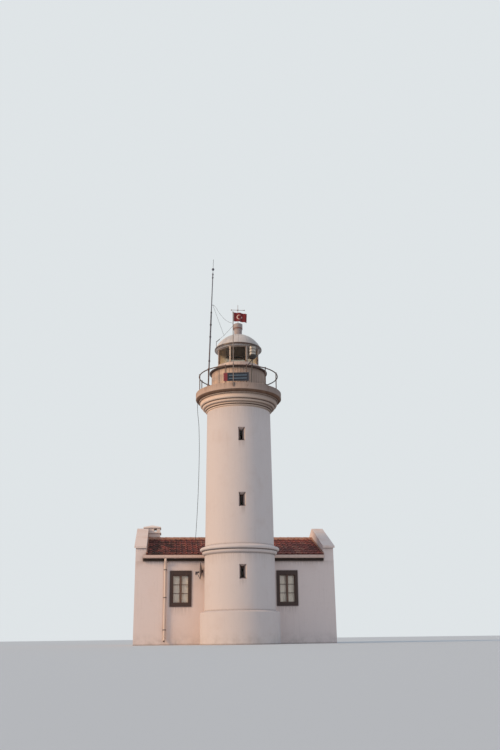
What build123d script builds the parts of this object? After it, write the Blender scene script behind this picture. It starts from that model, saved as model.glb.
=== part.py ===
"""A small coastal lighthouse: a round plastered tower with a gallery and an
eight-sided lantern, standing against the front of a one-storey keeper's house.

Millimetres, +Z up. The origin is on the tower's axis at ground level. The house
front faces -Y and the house lies behind it, to +Y.
"""
import os
from math import asin, atan2, cos, degrees, radians, sin, sqrt, tan

from build123d import *

# Clearance of a curved piece that fits against another; flat pieces touch
SEAT = 0.2

# Tower
BORE_R = 1000         # inside of the round wall
PLINTH_R = 1680
PLINTH_TOP = 1265     # top of the plinth's upright face
PLINTH_SLOPE = 65     # height of its weathering
LOWER_R = 1500
LOWER_TOP = 3800      # joint of the two shafts, behind the belt
SHAFT_FOOT_R = 1478
SHAFT_HEAD_R = 1425
SHAFT_TOP = 9870      # where the gallery mouldings start
FLOOR_TOP = 450       # floor level inside tower and house
FLOOR_T = 150

# Belt moulding, upwards: cove, lip, neck and roll
BELT_FOOT = 3610
BELT_BAND = 20        # height of the band the cove starts from
BELT_BAND_OUT = 30
BELT_COVE_BEND = 90
BELT_LIP_R = 1600
BELT_LIP_T = 40
BELT_LIP_TOP = 3740
BELT_LIP_SLOPE = 8
BELT_NECK_R = 1575
BELT_ROLL_R = 65
BELT_OUT_R = 1700
BELT_ROLL_Z = 3846
BELT_TOP = 3980
BELT_END_Y = 990      # the moulding stops here, short of the eaves

# Slot windows of the tower
SLOT_W = 300          # at the shaft's face
SLOT_H = 600
SLOT_SPLAY = 72       # the slot narrows by this on every side, back to the sash
SLOT_START = 20       # the slot is cut from this far outside the face
SLOT_LEVELS = (2840, 5810, 8640)   # middles of the three slots
SLOT_SASH_T = 50
SLOT_SASH_RIM = 25
SLOT_REVEAL = 330     # from the shaft's face back to the sash

# Gallery mouldings, upwards: band and bead, fillet, two coves, corona and bed.
# Tops are above the top of the shaft; each ledge rises a little outwards.
CORNICE_BAND = 46
CORNICE_BEAD_R = 42
LEDGE_RISE = 5
FILLET_R = 1520
FILLET_TOP = 215
LOW_COVE_IN_R = 1572
LOW_COVE_OUT_R = 1620
LOW_COVE_TOP = 325
LOW_COVE_BEND = 62
HIGH_COVE_IN_R = 1690
HIGH_COVE_OUT_R = 1738
HIGH_COVE_TOP = 430
HIGH_COVE_BEND = 90
CORONA_TOP = 530
BED_R = 1795

# Gallery
SLAB_R = 1940
SLAB_SOFFIT_R = 1810
SLAB_FOOT = 10440
SLAB_LIP = 85         # height of the undercut moulding below the fascia
SLAB_LIP_SET = 25     # that moulding stands back from the fascia
SLAB_LIP_BEND = 110
DECK_Z = 10810
ARRIS = 12
RAIL_R = 1790
RAIL_H = 830          # deck to the middle of the top rail
RAIL_D = 50
POST_D = 42
POST_COUNT = 12
POST_START = 7        # degrees from the front, to the right
POST_FOOT_R = 60
POST_FOOT_T = 12
POST_KNOB_R = 38

# Lantern
DRUM_R = 1220
DRUM_T = 110
DRUM_TOP = 11760
COPING_R = 1320
COPING_T = 80
COPING_EDGE = 20      # bevels of the coping and the sill
COPING_SLOPE = 45
SILL_R = 1045
SILL_SKIRT = 40       # a wider skirt around the sill's foot
SILL_SKIRT_TOP = 50
SILL_IN_R = 890
SILL_TOP = 12075
GLASS_TOP = 12866
LANTERN_R = 990       # to the corners of the eight-sided glazing
MULLION_W = 74
MULLION_D = 70
MULLION_TURN = 18     # degrees that the glazing is turned from the front
LANTERN_SIDES = 8
PANE_T = 8
PANE_RIM = 20         # glass edge to the corner bars on each side
FRAME_RAIL = 45       # rails at the foot and head of the glazing
HEAD_T = 44
HEAD_OUT = 25         # head ring beyond the corners of the glazing
ROOF_R = 1090
ROOF_EDGE_T = 70
ROOF_EDGE_BEVEL = 15
DOME_FOOT = 12        # slope between the roof's edge and the dome
ROOF_SHELL = 35
ROOF_FOOT_SHELL = 91  # the shell is thicker at the dome's foot
DOME_R = 1070
DOME_MID = (700, 13455)            # radius and height half way up the dome
NECK_R = 185
DOME_TOP = 13700
NECK_TOP = 14010
NECK_COLLAR = 14
NECK_COLLAR_H = 50
HEAD_R = 212
HEAD_TOP = 14290
HEAD_CROWN = 40
VANE_TIP = 15250
VANE_ARM_Z = 14990
VANE_ARM = 310
VANE_D = 22

# House
HOUSE_X = -75         # middle of the house, beside the tower's axis
FRONT_Y = 1200        # outer face of the front wall
HOUSE_DEPTH = 5360
GABLE_OUT = 4397      # house middle to the outer face of a gable wall
GABLE_T = 470
WALL_T = 400
ROOF_RISE = 0.338     # rise over run of the tiles
ROOF_T = 70
EAVE_Y = 1050
EAVE_TOP = 3770
TILE_W = 245          # made even over the length of the roof
TILE_GAUGE = 377      # made even over the slope
TILE_T = 8
TILE_LIFT = 24        # foot of a tile above the head of the one below
TILE_OVER = 35        # tiles beyond the eave
TILE_BED = 10         # the tiles sit this deep in their bed
ROLL_AT = 49          # left edge of a tile to the middle of its roll
ROLL_W = 86
ROLL_H = 30
RIDGE_CAP_W = 130
RIDGE_CAP_H = 110
RIDGE_CAP_EDGE = 50   # covers the heads of the rolls
COPING_FRONT_Z = 4171
COPING_APEX_Z = 5257
PARAPET_COPING_T = 90
COPING_LIP = 60
EAVE_BOARD_FOOT = 3497
EAVE_BOARD_OUT = 110
GUTTER_W = 126
GUTTER_FOOT = 3607
GUTTER_FRONT = 3742
GUTTER_BACK = 3700
GUTTER_T = 6
GUTTER_BEVEL = 30
GUTTER_END = 150      # the front gutter runs this far over the left gable wall
EAVE_BOARD_END = 135  # and its board this far
PIPE_D = 100
PIPE_WALL = 5
PIPE_ASIDE = 157      # left front window to the pipe
PIPE_FOOT = 160
PIPE_GAP = 35         # pipe to wall
PIPE_BEND = 60
PIPE_DROP = 110       # straight piece under the gutter
PIPE_OFFSET = 130     # height of the slanting piece below it
SHOE_REACH = 110
SHOE_H = 90

# Windows of the house
WINDOW_W = 940
WINDOW_H = 1509
WINDOW_FOOT = 1571
CASING_W = 120
CASING_TOP = 184
CASING_FOOT = 144
CASING_OUT = 28       # stands proud of the plaster
CASING_D = 150
SASH_D = 55
SASH_BACK = 60        # wall face back to the sash
RAIL_W = 34           # outer rails of the two leaves
MEETING_W = 92
GLASS_T = 5
CURTAIN_T = 22
CURTAIN_BACK = 40     # sash back to the curtains
CURTAIN_SIDE = 18     # reveal to curtain
CURTAIN_PART = 24     # between the two curtains of a window
CURTAIN_CLEAR = 30    # curtain to the sill of the reveal
CURTAIN_ROD_D = 24
CURTAIN_ROD_DROP = 45 # head of the reveal to the middle of the rod
FRONT_WINDOWS = (-2483, 2200)
BACK_WINDOWS = (-2483, 2483)

# Doors
PASSAGE_W = 700       # opening between house and tower
PASSAGE_TOP = 2400
DOOR_W = 960
DOOR_TOP = 2560
DOOR_CASING = 100
DOOR_T = 60
DOOR_PANELS = ((180, 860), (1000, 1850))   # foot and top above the floor
DOOR_PANEL_RIM = 65
DOOR_PANEL_SINK = 12
DOOR_KNOB_Z = 950
DOOR_KNOB_R = 24
DOOR_KNOB_STEM_D = 18
DOOR_KNOB_STEM = 50
DOOR_KNOB_EDGE = 55   # knob to the leaf's edge
STEP_D = 420
STEP_SIDE = 200

# Chimney
CHIMNEY_IN = 641      # outer face of the left gable to the chimney's middle
CHIMNEY_BEHIND = 50   # ridge to its front face
CHIMNEY_W = 750
CHIMNEY_LEDGE_Z = 5040
CHIMNEY_LEDGE_T = 35
CHIMNEY_LEDGE_OUT = 50
CHIMNEY_BODY_TOP = 5290
CHIMNEY_CAP_W = 830
CHIMNEY_CAP_T = 45
CHIMNEY_APEX = 5467
CHIMNEY_APEX_W = 20
CHIMNEY_BURIED = 900  # the stack is drawn this far down, then cut by roof and gable
FLUE_W = 131
FLUE_SIDE = 151       # from the middle of a face
FLUE_FOOT = 5131
FLUE_WALL = 120

# The front slope is in three parts, the middle one behind the tower
NOTCH_X = 1560

# Mast and flagpole
MAST_FOOT = (-1430, -955)
MAST_TIP = (-1212, -975, 17140)
MAST_LOW_D = 64
MAST_HIGH_D = 44
MAST_STEP_Z = 14400
MAST_POLE_TOP = 16400
MAST_BALL_Z = 16600
MAST_BALL_R = 62
MAST_SPIKE_D = 18
MAST_TAPER = 30
MAST_POINT = 60
MAST_COLLARS = (12050, 13210, 13800, 14400, 16150, 16310)
MAST_COLLAR_OUT = 14
MAST_COLLAR_H = 60
MAST_PLATE_R = 58
MAST_PLATE_T = 16
MAST_SOCKET_H = 140
FLAGPOLE_X = -385
FLAGPOLE_R = 1965     # distance from the tower's axis
FLAGPOLE_D = 36
FLAGPOLE_FOOT = 10630
FLAGPOLE_TOP = 14080
FLAG_W = 600
FLAG_H = 430
FLAG_T = 6
FLAG_DROP = 30        # top of the flag under the top of the pole

# Sign on the railing
SIGN_W = 1115
SIGN_H = 385
SIGN_T = 18
SIGN_FOOT = 10915
SIGN_TURN = -8        # degrees from the front
SIGN_CORNER = 12

# Second light on the railing
AUX_X = 405
AUX_POLE_R = 1848
AUX_POLE_D = 40
AUX_TOP_X = 470
AUX_PLATE_Z = 11925
AUX_BASE_R = 195
AUX_BASE_H = 165
AUX_BASE_RIM = 60
AUX_DRUM_R = 152
AUX_DRUM_H = 420
AUX_RINGS = 5
AUX_GROOVE = 14
AUX_RING_SHARE = 0.55 # ring height over ring spacing
AUX_CAP_OUT = 6
AUX_CAP_T = 22

# Wires and the lead that hangs from the gallery
WIRE_D = 11
WIRE_ARM = 100        # arm of the mast that the wires leave from
WIRE_ARM_D = 22
WIRE_ARM_Z = 14800
INSULATOR_D = 34
INSULATOR_L = 420
LEAD_D = 20
BEND_SHARE = 0.45     # of the shorter run beside a bend, taken up by its arc
WIRE_ENDS_Z = (13545, 13424)      # on the flagpole
ROOF_ANCHOR = (-1008, 88, 13397)
ANCHOR_FOOT = 12950   # inside the roof's edge
WIRE_KNOT = (-713, -814, 13378)
LEAD_GRIP = 1.8       # fixing on the tiles over the lead's diameter
CLAMP_H = 60
CLAMP_W = 40
CLAMP_OUT = 12        # clamp ring around a pole

# Dish beside the tower
DISH_R = 362
DISH_DEPTH = 62
DISH_T = 8
DISH_X = -1590
DISH_Z = 3046
DISH_Y = 820
DISH_TUBE = 34
DISH_STAND = 44
DISH_FEED_OUT = 150
DISH_FEED_DROP = 60
DISH_FEED_R = 32
DISH_FEED_L = 120
DISH_ARM_W = 22
DISH_RIM_IN = 14      # arm's foot inside the rim
DISH_PLATE = 90
DISH_PLATE_T = 8


# Values worked out from the sizes above
HOUSE_MID_Y = FRONT_Y + HOUSE_DEPTH / 2
BACK_Y = FRONT_Y + HOUSE_DEPTH
LEFT_IN = HOUSE_X - GABLE_OUT + GABLE_T
RIGHT_IN = HOUSE_X + GABLE_OUT - GABLE_T
CHIMNEY_X = HOUSE_X - GABLE_OUT + CHIMNEY_IN
CHIMNEY_Y = HOUSE_MID_Y + CHIMNEY_BEHIND + CHIMNEY_W / 2
PLINTH_END = PLINTH_TOP + PLINTH_SLOPE
RIDGE_Z = EAVE_TOP + (HOUSE_MID_Y - EAVE_Y) * ROOF_RISE
COPING_TOP = DRUM_TOP + COPING_T
RAIL_Z = DECK_Z + RAIL_H
ROOF_EDGE_Z = GLASS_TOP + HEAD_T


def roof_top(y):
    """Height of the tiles' bed over a point y, the same on both slopes."""
    return RIDGE_Z - abs(y - HOUSE_MID_Y) * ROOF_RISE


def roof_under(y):
    return roof_top(y) - ROOF_T


def coping_top(y):
    rise = (COPING_APEX_Z - COPING_FRONT_Z) / (HOUSE_MID_Y - FRONT_Y)
    return COPING_APEX_Z - abs(y - HOUSE_MID_Y) * rise


def radial_plane(angle):
    """Upright plane through the tower's axis, angle counter-clockwise from +X."""
    a = radians(angle)
    return Plane(origin=(0, 0, 0), x_dir=(cos(a), sin(a), 0), z_dir=(sin(a), -cos(a), 0))


def around(angle, radius, z=0):
    """A point at an angle from the front, to the right, and a radius from the axis."""
    a = radians(angle)
    return (radius * sin(a), -radius * cos(a), z)


def turned(points, start, sweep=360):
    """Solid of the outline points (radius, height) turned about the tower's axis."""
    with BuildPart() as piece:
        with BuildSketch(radial_plane(start)):
            with BuildLine():
                Polyline(*points, close=True)
            make_face()
        revolve(axis=Axis.Z, revolution_arc=sweep)
    return piece.part


def save(part, label):
    part.label = label
    export_step(part, f"parts/{label}.step")


def join_all(parts, label):
    """One node of several solids that stay separate."""
    save(Compound(label=label, children=list(parts)), label)


os.makedirs("parts", exist_ok=True)


# Round wall, in four parts for each shaft
QUARTERS = {"front": -135, "right": -45, "back": 45, "left": 135}

LOWER_OUTLINE = [
    (BORE_R, 0),
    (PLINTH_R, 0),
    (PLINTH_R, PLINTH_TOP),
    (LOWER_R, PLINTH_END),
    (LOWER_R, LOWER_TOP),
    (BORE_R, LOWER_TOP),
]
UPPER_OUTLINE = [
    (BORE_R, LOWER_TOP),
    (SHAFT_FOOT_R, LOWER_TOP),
    (SHAFT_FOOT_R, BELT_TOP),
    (SHAFT_HEAD_R, SHAFT_TOP),
    (BORE_R, SHAFT_TOP),
]


def wall_quarter(outline, side, cuts):
    """A quarter of a shaft without its cuts."""
    with BuildPart() as quarter:
        add(turned(outline, QUARTERS[side], 90))
        add(cuts, mode=Mode.SUBTRACT)
    return quarter.part


def slot_face(z):
    """Distance of the shaft's outer face from the axis at a height."""
    if z < LOWER_TOP:
        return LOWER_R
    share = (z - BELT_TOP) / (SHAFT_TOP - BELT_TOP)
    return SHAFT_FOOT_R + share * (SHAFT_HEAD_R - SHAFT_FOOT_R)


slot_in_w = SLOT_W - 2 * SLOT_SPLAY
slot_in_h = SLOT_H - 2 * SLOT_SPLAY
through_wall = 2 * (LOWER_R - BORE_R) + 200


def slot_cut(z):
    """A slot that narrows from the face to its sash and goes straight on from there."""
    with BuildPart() as cut:
        for depth in (-SLOT_START, SLOT_REVEAL):
            spread = 2 * SLOT_SPLAY * (1 - depth / SLOT_REVEAL)
            with BuildSketch(Plane.XZ.offset(slot_face(z) - depth)):
                with Locations((0, z)):
                    Rectangle(slot_in_w + spread, slot_in_h + spread)
        loft()
        with Locations((0, -LOWER_R, z)):
            Box(slot_in_w, through_wall, slot_in_h)
    return cut.part


with BuildPart() as passage_cut:
    with Locations((0, LOWER_R, (FLOOR_TOP + PASSAGE_TOP) / 2)):
        Box(PASSAGE_W, through_wall, PASSAGE_TOP - FLOOR_TOP)
for shaft, outline, levels in (
    ("lower", LOWER_OUTLINE, [z for z in SLOT_LEVELS if z < LOWER_TOP]),
    ("upper", UPPER_OUTLINE, [z for z in SLOT_LEVELS if z > LOWER_TOP]),
):
    back_cuts = [passage_cut.part] if shaft == "lower" else []
    join_all([
        wall_quarter(outline, "front", [slot_cut(z) for z in levels]),
        wall_quarter(outline, "back", back_cuts),
    ], f"{shaft}_shaft_front_back")
    join_all([wall_quarter(outline, side, []) for side in ("left", "right")], f"{shaft}_shaft_sides")

# Solid foot inside the tower, up to the floor
with BuildPart() as tower_floor:
    with BuildSketch():
        Circle(BORE_R)
    extrude(amount=FLOOR_TOP)

# The belt is open at the back, where the house stands
belt_half = 90 + degrees(asin(BELT_END_Y / BELT_OUT_R))
with BuildPart() as belt_course:
    with BuildSketch(radial_plane(-90 - belt_half)):
        with BuildLine():
            cove_foot = (LOWER_R + BELT_BAND_OUT, BELT_FOOT + BELT_BAND)
            cove_top = (BELT_LIP_R, BELT_LIP_TOP - BELT_LIP_T)
            Polyline((LOWER_R, BELT_FOOT), (LOWER_R + BELT_BAND_OUT, BELT_FOOT), cove_foot)
            RadiusArc(cove_foot, cove_top, -BELT_COVE_BEND)
            Polyline(
                cove_top,
                (BELT_LIP_R, BELT_LIP_TOP),
                (BELT_NECK_R, BELT_LIP_TOP + BELT_LIP_SLOPE),
                (BELT_NECK_R, BELT_ROLL_Z - BELT_ROLL_R),
                (BELT_OUT_R - BELT_ROLL_R, BELT_ROLL_Z - BELT_ROLL_R),
            )
            ThreePointArc(
                (BELT_OUT_R - BELT_ROLL_R, BELT_ROLL_Z - BELT_ROLL_R),
                (BELT_OUT_R, BELT_ROLL_Z),
                (BELT_OUT_R - BELT_ROLL_R, BELT_ROLL_Z + BELT_ROLL_R),
            )
            Polyline(
                (BELT_OUT_R - BELT_ROLL_R, BELT_ROLL_Z + BELT_ROLL_R),
                (SHAFT_FOOT_R, BELT_TOP),
                (SHAFT_FOOT_R, LOWER_TOP),
                (LOWER_R, LOWER_TOP),
                (LOWER_R, BELT_FOOT),
            )
        make_face()
    revolve(axis=Axis.Z, revolution_arc=2 * belt_half)
save(belt_course.part, "belt_course")

# Mouldings under the gallery
bead_foot = SHAFT_TOP + CORNICE_BAND
low_cove_foot = (LOW_COVE_IN_R, SHAFT_TOP + FILLET_TOP + LEDGE_RISE)
low_cove_head = (LOW_COVE_OUT_R, SHAFT_TOP + LOW_COVE_TOP)
high_cove_foot = (HIGH_COVE_IN_R, SHAFT_TOP + LOW_COVE_TOP + 2 * LEDGE_RISE)
high_cove_head = (HIGH_COVE_OUT_R, SHAFT_TOP + HIGH_COVE_TOP)
with BuildPart() as gallery_cornice:
    with BuildSketch(radial_plane(0)):
        with BuildLine():
            Polyline((BORE_R, SHAFT_TOP), (SHAFT_HEAD_R, SHAFT_TOP), (SHAFT_HEAD_R, bead_foot))
            ThreePointArc(
                (SHAFT_HEAD_R, bead_foot),
                (SHAFT_HEAD_R + CORNICE_BEAD_R, bead_foot + CORNICE_BEAD_R),
                (SHAFT_HEAD_R, bead_foot + 2 * CORNICE_BEAD_R),
            )
            Polyline(
                (SHAFT_HEAD_R, bead_foot + 2 * CORNICE_BEAD_R),
                (FILLET_R, bead_foot + 2 * CORNICE_BEAD_R + LEDGE_RISE),
                (FILLET_R, SHAFT_TOP + FILLET_TOP),
                low_cove_foot,
            )
            RadiusArc(low_cove_foot, low_cove_head, -LOW_COVE_BEND)
            Line(low_cove_head, high_cove_foot)
            RadiusArc(high_cove_foot, high_cove_head, -HIGH_COVE_BEND)
            Polyline(
                high_cove_head,
                (HIGH_COVE_OUT_R, SHAFT_TOP + CORONA_TOP),
                (BED_R, SHAFT_TOP + CORONA_TOP + LEDGE_RISE),
                (BED_R, SLAB_FOOT),
                (BORE_R, SLAB_FOOT),
                (BORE_R, SHAFT_TOP),
            )
        make_face()
    revolve(axis=Axis.Z)
save(gallery_cornice.part, "gallery_cornice")

lip_top = (SLAB_R - SLAB_LIP_SET, SLAB_FOOT + SLAB_LIP)
with BuildPart() as gallery_slab:
    with BuildSketch(radial_plane(0)):
        with BuildLine():
            Line((0, SLAB_FOOT), (SLAB_SOFFIT_R, SLAB_FOOT))
            RadiusArc((SLAB_SOFFIT_R, SLAB_FOOT), lip_top, -SLAB_LIP_BEND)
            Polyline(
                lip_top,
                (SLAB_R, SLAB_FOOT + SLAB_LIP + ARRIS),
                (SLAB_R, DECK_Z - ARRIS),
                (SLAB_R - ARRIS, DECK_Z),
                (0, DECK_Z),
                (0, SLAB_FOOT),
            )
        make_face()
    revolve(axis=Axis.Z)
save(gallery_slab.part, "gallery_slab")

# Railing: one round top rail with knobs, on twelve posts with foot plates
POST_ANGLES = [POST_START + k * 360 / POST_COUNT for k in range(POST_COUNT)]
with BuildPart() as gallery_top_rail:
    with BuildSketch(Plane.XZ):
        with Locations((RAIL_R, RAIL_Z)):
            Circle(RAIL_D / 2)
    revolve(axis=Axis.Z)
    with Locations([around(angle, RAIL_R, RAIL_Z + RAIL_D / 3) for angle in POST_ANGLES]):
        Sphere(POST_KNOB_R)
save(gallery_top_rail.part, "gallery_top_rail")


def rail_post(angle):
    """A post with its foot plate, cut to the underside of the top rail."""
    with BuildPart() as post:
        with Locations(around(angle, RAIL_R, DECK_Z)):
            Cylinder(POST_FOOT_R, POST_FOOT_T, align=(Align.CENTER, Align.CENTER, Align.MIN))
            Cylinder(POST_D / 2, RAIL_H, align=(Align.CENTER, Align.CENTER, Align.MIN))
        add(gallery_top_rail.part, mode=Mode.SUBTRACT)
    return post.part


join_all([rail_post(angle) for angle in POST_ANGLES], "gallery_posts")

# Drum under the glazing, then one casting with its coping and the sill ring
drum_in = DRUM_R - DRUM_T
drum_profile = [(drum_in, DECK_Z), (DRUM_R, DECK_Z), (DRUM_R, DRUM_TOP), (drum_in, DRUM_TOP)]
save(turned(drum_profile, 0), "lantern_drum")
save(turned([
    (SILL_IN_R, DRUM_TOP),
    (COPING_R - COPING_EDGE, DRUM_TOP),
    (COPING_R, DRUM_TOP + COPING_EDGE),
    (COPING_R, COPING_TOP - COPING_EDGE),
    (COPING_R - COPING_SLOPE, COPING_TOP),
    (SILL_R + SILL_SKIRT, COPING_TOP),
    (SILL_R + SILL_SKIRT, COPING_TOP + SILL_SKIRT_TOP),
    (SILL_R, COPING_TOP + SILL_SKIRT_TOP + COPING_EDGE),
    (SILL_R, SILL_TOP - COPING_EDGE),
    (SILL_R - COPING_EDGE, SILL_TOP),
    (SILL_IN_R, SILL_TOP),
], 0), "lantern_sill")


# Eight-sided glazing: bars at the corners, head ring, panes between
def pane_plane(k):
    """Upright plane of one side, centred at its foot, normal outwards."""
    step = 360 / LANTERN_SIDES
    angle = MULLION_TURN + (k + 0.5) * step
    apothem = LANTERN_R * cos(radians(step / 2))
    a = radians(angle)
    along = (cos(a), sin(a), 0)
    outwards = (sin(a), -cos(a), 0)
    return Plane(origin=around(angle, apothem, SILL_TOP), x_dir=along, z_dir=outwards)


HALF_SIDE = LANTERN_R * sin(radians(180 / LANTERN_SIDES))
GLASS_H = GLASS_TOP - SILL_TOP
with BuildPart() as lantern_frame:
    for k in range(LANTERN_SIDES):
        angle = MULLION_TURN + k * 360 / LANTERN_SIDES
        with Locations(Location(around(angle, LANTERN_R - MULLION_D / 2, SILL_TOP), (0, 0, angle))):
            Box(MULLION_W, MULLION_D, GLASS_H, align=(Align.CENTER, Align.CENTER, Align.MIN))
    for k in range(LANTERN_SIDES):
        with BuildSketch(pane_plane(k).offset(-MULLION_D / 2)):
            with Locations((0, FRAME_RAIL / 2), (0, GLASS_H - FRAME_RAIL / 2)):
                Rectangle(2 * HALF_SIDE - MULLION_W / 2, FRAME_RAIL)
        extrude(amount=MULLION_D / 2)
save(lantern_frame.part, "lantern_frame")

PANE_W = 2 * (HALF_SIDE - PANE_RIM) - MULLION_W
panes = []
for k in range(LANTERN_SIDES):
    with BuildPart() as pane:
        with BuildSketch(pane_plane(k).offset(-MULLION_D / 4)):
            with Locations((0, GLASS_H / 2)):
                Rectangle(PANE_W, GLASS_H - 2 * FRAME_RAIL)
        extrude(amount=PANE_T)
    panes.append(pane.part)
join_all(panes, "lantern_glass")

# Lantern roof: a head ring, an eave and a thin dome, open underneath
dome_z = ROOF_EDGE_Z + ROOF_EDGE_T
with BuildPart() as lantern_roof:
    with BuildSketch(radial_plane(0)):
        with BuildLine():
            Polyline(
                (SILL_IN_R, GLASS_TOP),
                (LANTERN_R + HEAD_OUT, GLASS_TOP),
                (LANTERN_R + HEAD_OUT, ROOF_EDGE_Z),
                (ROOF_R - ROOF_EDGE_BEVEL, ROOF_EDGE_Z),
                (ROOF_R, ROOF_EDGE_Z + ROOF_EDGE_BEVEL),
                (ROOF_R, dome_z),
                (DOME_R, dome_z + DOME_FOOT),
            )
            ThreePointArc((DOME_R, dome_z + DOME_FOOT), DOME_MID, (NECK_R, DOME_TOP))
            Polyline(
                (NECK_R, DOME_TOP),
                (0, DOME_TOP),
                (0, DOME_TOP - ROOF_SHELL),
                (NECK_R, DOME_TOP - ROOF_SHELL),
            )
            ThreePointArc(
                (NECK_R, DOME_TOP - ROOF_SHELL),
                (DOME_MID[0] - ROOF_SHELL / 2, DOME_MID[1] - ROOF_SHELL),
                (DOME_R - ROOF_FOOT_SHELL, dome_z),
            )
            Polyline((DOME_R - ROOF_FOOT_SHELL, dome_z), (SILL_IN_R, ROOF_EDGE_Z), (SILL_IN_R, GLASS_TOP))
        make_face()
    revolve(axis=Axis.Z)
save(lantern_roof.part, "lantern_roof")

# Vent: neck, collar, then a wider head with a shallow crown and a wind vane
crown_r = (HEAD_R ** 2 + HEAD_CROWN ** 2) / (2 * HEAD_CROWN)
crown_drop = crown_r - sqrt(crown_r ** 2 - (HEAD_R / 2) ** 2)
upright = (Align.CENTER, Align.CENTER, Align.MIN)
with BuildPart() as roof_vent:
    with BuildSketch(radial_plane(0)):
        with BuildLine():
            Polyline(
                (0, DOME_TOP),
                (NECK_R, DOME_TOP),
                (NECK_R, NECK_TOP - NECK_COLLAR_H - NECK_COLLAR),
                (NECK_R + NECK_COLLAR, NECK_TOP - NECK_COLLAR_H),
                (NECK_R + NECK_COLLAR, NECK_TOP),
                (HEAD_R, NECK_TOP),
                (HEAD_R, HEAD_TOP - HEAD_CROWN),
            )
            ThreePointArc(
                (HEAD_R, HEAD_TOP - HEAD_CROWN),
                (HEAD_R / 2, HEAD_TOP - crown_drop),
                (0, HEAD_TOP),
            )
            Line((0, HEAD_TOP), (0, DOME_TOP))
        make_face()
    revolve(axis=Axis.Z)
    with Locations((0, 0, NECK_TOP)):
        Cylinder(VANE_D / 2, VANE_TIP - NECK_TOP, align=upright)
    with Locations((0, 0, HEAD_TOP - HEAD_CROWN)):
        Cylinder(2 * VANE_D, 2 * HEAD_CROWN, align=upright)
    with Locations((0, 0, VANE_ARM_Z)):
        Sphere(1.6 * VANE_D)
        Cylinder(VANE_D / 2, 2 * VANE_ARM, rotation=(0, 90, 0))
save(roof_vent.part, "roof_vent")


# Slot windows: small sashes set deep in the wall
slot_sashes = []
slot_panes = []
for z in SLOT_LEVELS:
    sash_y = -slot_face(z) + SLOT_REVEAL + SLOT_SASH_T / 2
    with BuildPart() as sash:
        with Locations((0, sash_y, z)):
            Box(slot_in_w, SLOT_SASH_T, slot_in_h)
            Box(slot_in_w - 2 * SLOT_SASH_RIM, SLOT_SASH_T, slot_in_h - 2 * SLOT_SASH_RIM, mode=Mode.SUBTRACT)
    slot_sashes.append(sash.part)
    with BuildPart() as slot_pane:
        with Locations((0, sash_y, z)):
            Box(slot_in_w - 2 * SLOT_SASH_RIM, GLASS_T, slot_in_h - 2 * SLOT_SASH_RIM)
    slot_panes.append(slot_pane.part)


# House walls
def long_wall(x0, x1, y_out, y_in, openings):
    """Wall along X from x0 to x1, its top cut to the roof's underside.
    Openings are (middle x, width, foot, top)."""
    with BuildPart() as wall:
        with BuildSketch(Plane.YZ.offset(x0)):
            with BuildLine():
                Polyline(
                    (y_out, 0),
                    (y_in, 0),
                    (y_in, roof_under(y_in)),
                    (y_out, roof_under(y_out)),
                    close=True,
                )
            make_face()
        extrude(amount=x1 - x0)
        for x, width, low, high in openings:
            with Locations((x, (y_out + y_in) / 2, (low + high) / 2)):
                Box(width, 2 * WALL_T, high - low, mode=Mode.SUBTRACT)
    return wall.part


tower_core = turned([
    (0, -100),
    (PLINTH_R + SEAT, -100),
    (PLINTH_R + SEAT, PLINTH_TOP),
    (LOWER_R + SEAT, PLINTH_END),
    (LOWER_R + SEAT, 2 * LOWER_TOP),
    (0, 2 * LOWER_TOP),
], 0)


def beside_tower(part):
    """The part with the tower's round wall taken out of it."""
    with BuildPart() as rest:
        add(part)
        add(tower_core, mode=Mode.SUBTRACT)
    return rest.part


WINDOW_TOP = WINDOW_FOOT + WINDOW_H
front_in = FRONT_Y + WALL_T
back_in = BACK_Y - WALL_T
left_window, right_window = [(x, WINDOW_W, WINDOW_FOOT, WINDOW_TOP) for x in FRONT_WINDOWS]
passage = (0, PASSAGE_W, -1, PASSAGE_TOP)
left_part = long_wall(LEFT_IN, PASSAGE_W / 2, FRONT_Y, front_in, [left_window, passage])
right_part = long_wall(PASSAGE_W / 2, RIGHT_IN, FRONT_Y, front_in, [right_window])
save(beside_tower(left_part), "front_wall_left")
save(beside_tower(right_part), "front_wall_right")

back_openings = [(x, WINDOW_W, WINDOW_FOOT, WINDOW_TOP) for x in BACK_WINDOWS]
back_openings.append((HOUSE_X, DOOR_W, FLOOR_TOP, DOOR_TOP))
save(long_wall(LEFT_IN, RIGHT_IN, BACK_Y, back_in, back_openings), "back_wall")


def gable_wall(x0):
    with BuildPart() as wall:
        with BuildSketch(Plane.YZ.offset(x0)):
            with BuildLine():
                Polyline(
                    (FRONT_Y, 0),
                    (BACK_Y, 0),
                    (BACK_Y, coping_top(BACK_Y) - PARAPET_COPING_T),
                    (HOUSE_MID_Y, COPING_APEX_Z - PARAPET_COPING_T),
                    (FRONT_Y, coping_top(FRONT_Y) - PARAPET_COPING_T),
                    close=True,
                )
            make_face()
        extrude(amount=GABLE_T)
    return wall.part


def coping_outline():
    """Coping of one gable, seen along X, a bent band with lips at both ends."""
    low = FRONT_Y - COPING_LIP
    high = BACK_Y + COPING_LIP
    return [
        (low, coping_top(low) - PARAPET_COPING_T),
        (HOUSE_MID_Y, COPING_APEX_Z - PARAPET_COPING_T),
        (high, coping_top(high) - PARAPET_COPING_T),
        (high, coping_top(high)),
        (HOUSE_MID_Y, COPING_APEX_Z),
        (low, coping_top(low)),
    ]


def gable_coping(x0):
    with BuildPart() as coping:
        with BuildSketch(Plane.YZ.offset(x0)):
            with BuildLine():
                Polyline(*coping_outline(), close=True)
            make_face()
        extrude(amount=GABLE_T + COPING_LIP)
    return coping.part


join_all([gable_wall(HOUSE_X - GABLE_OUT), gable_wall(RIGHT_IN)], "gable_walls")
join_all([gable_coping(HOUSE_X - GABLE_OUT - COPING_LIP), gable_coping(RIGHT_IN)], "gable_copings")

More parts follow.
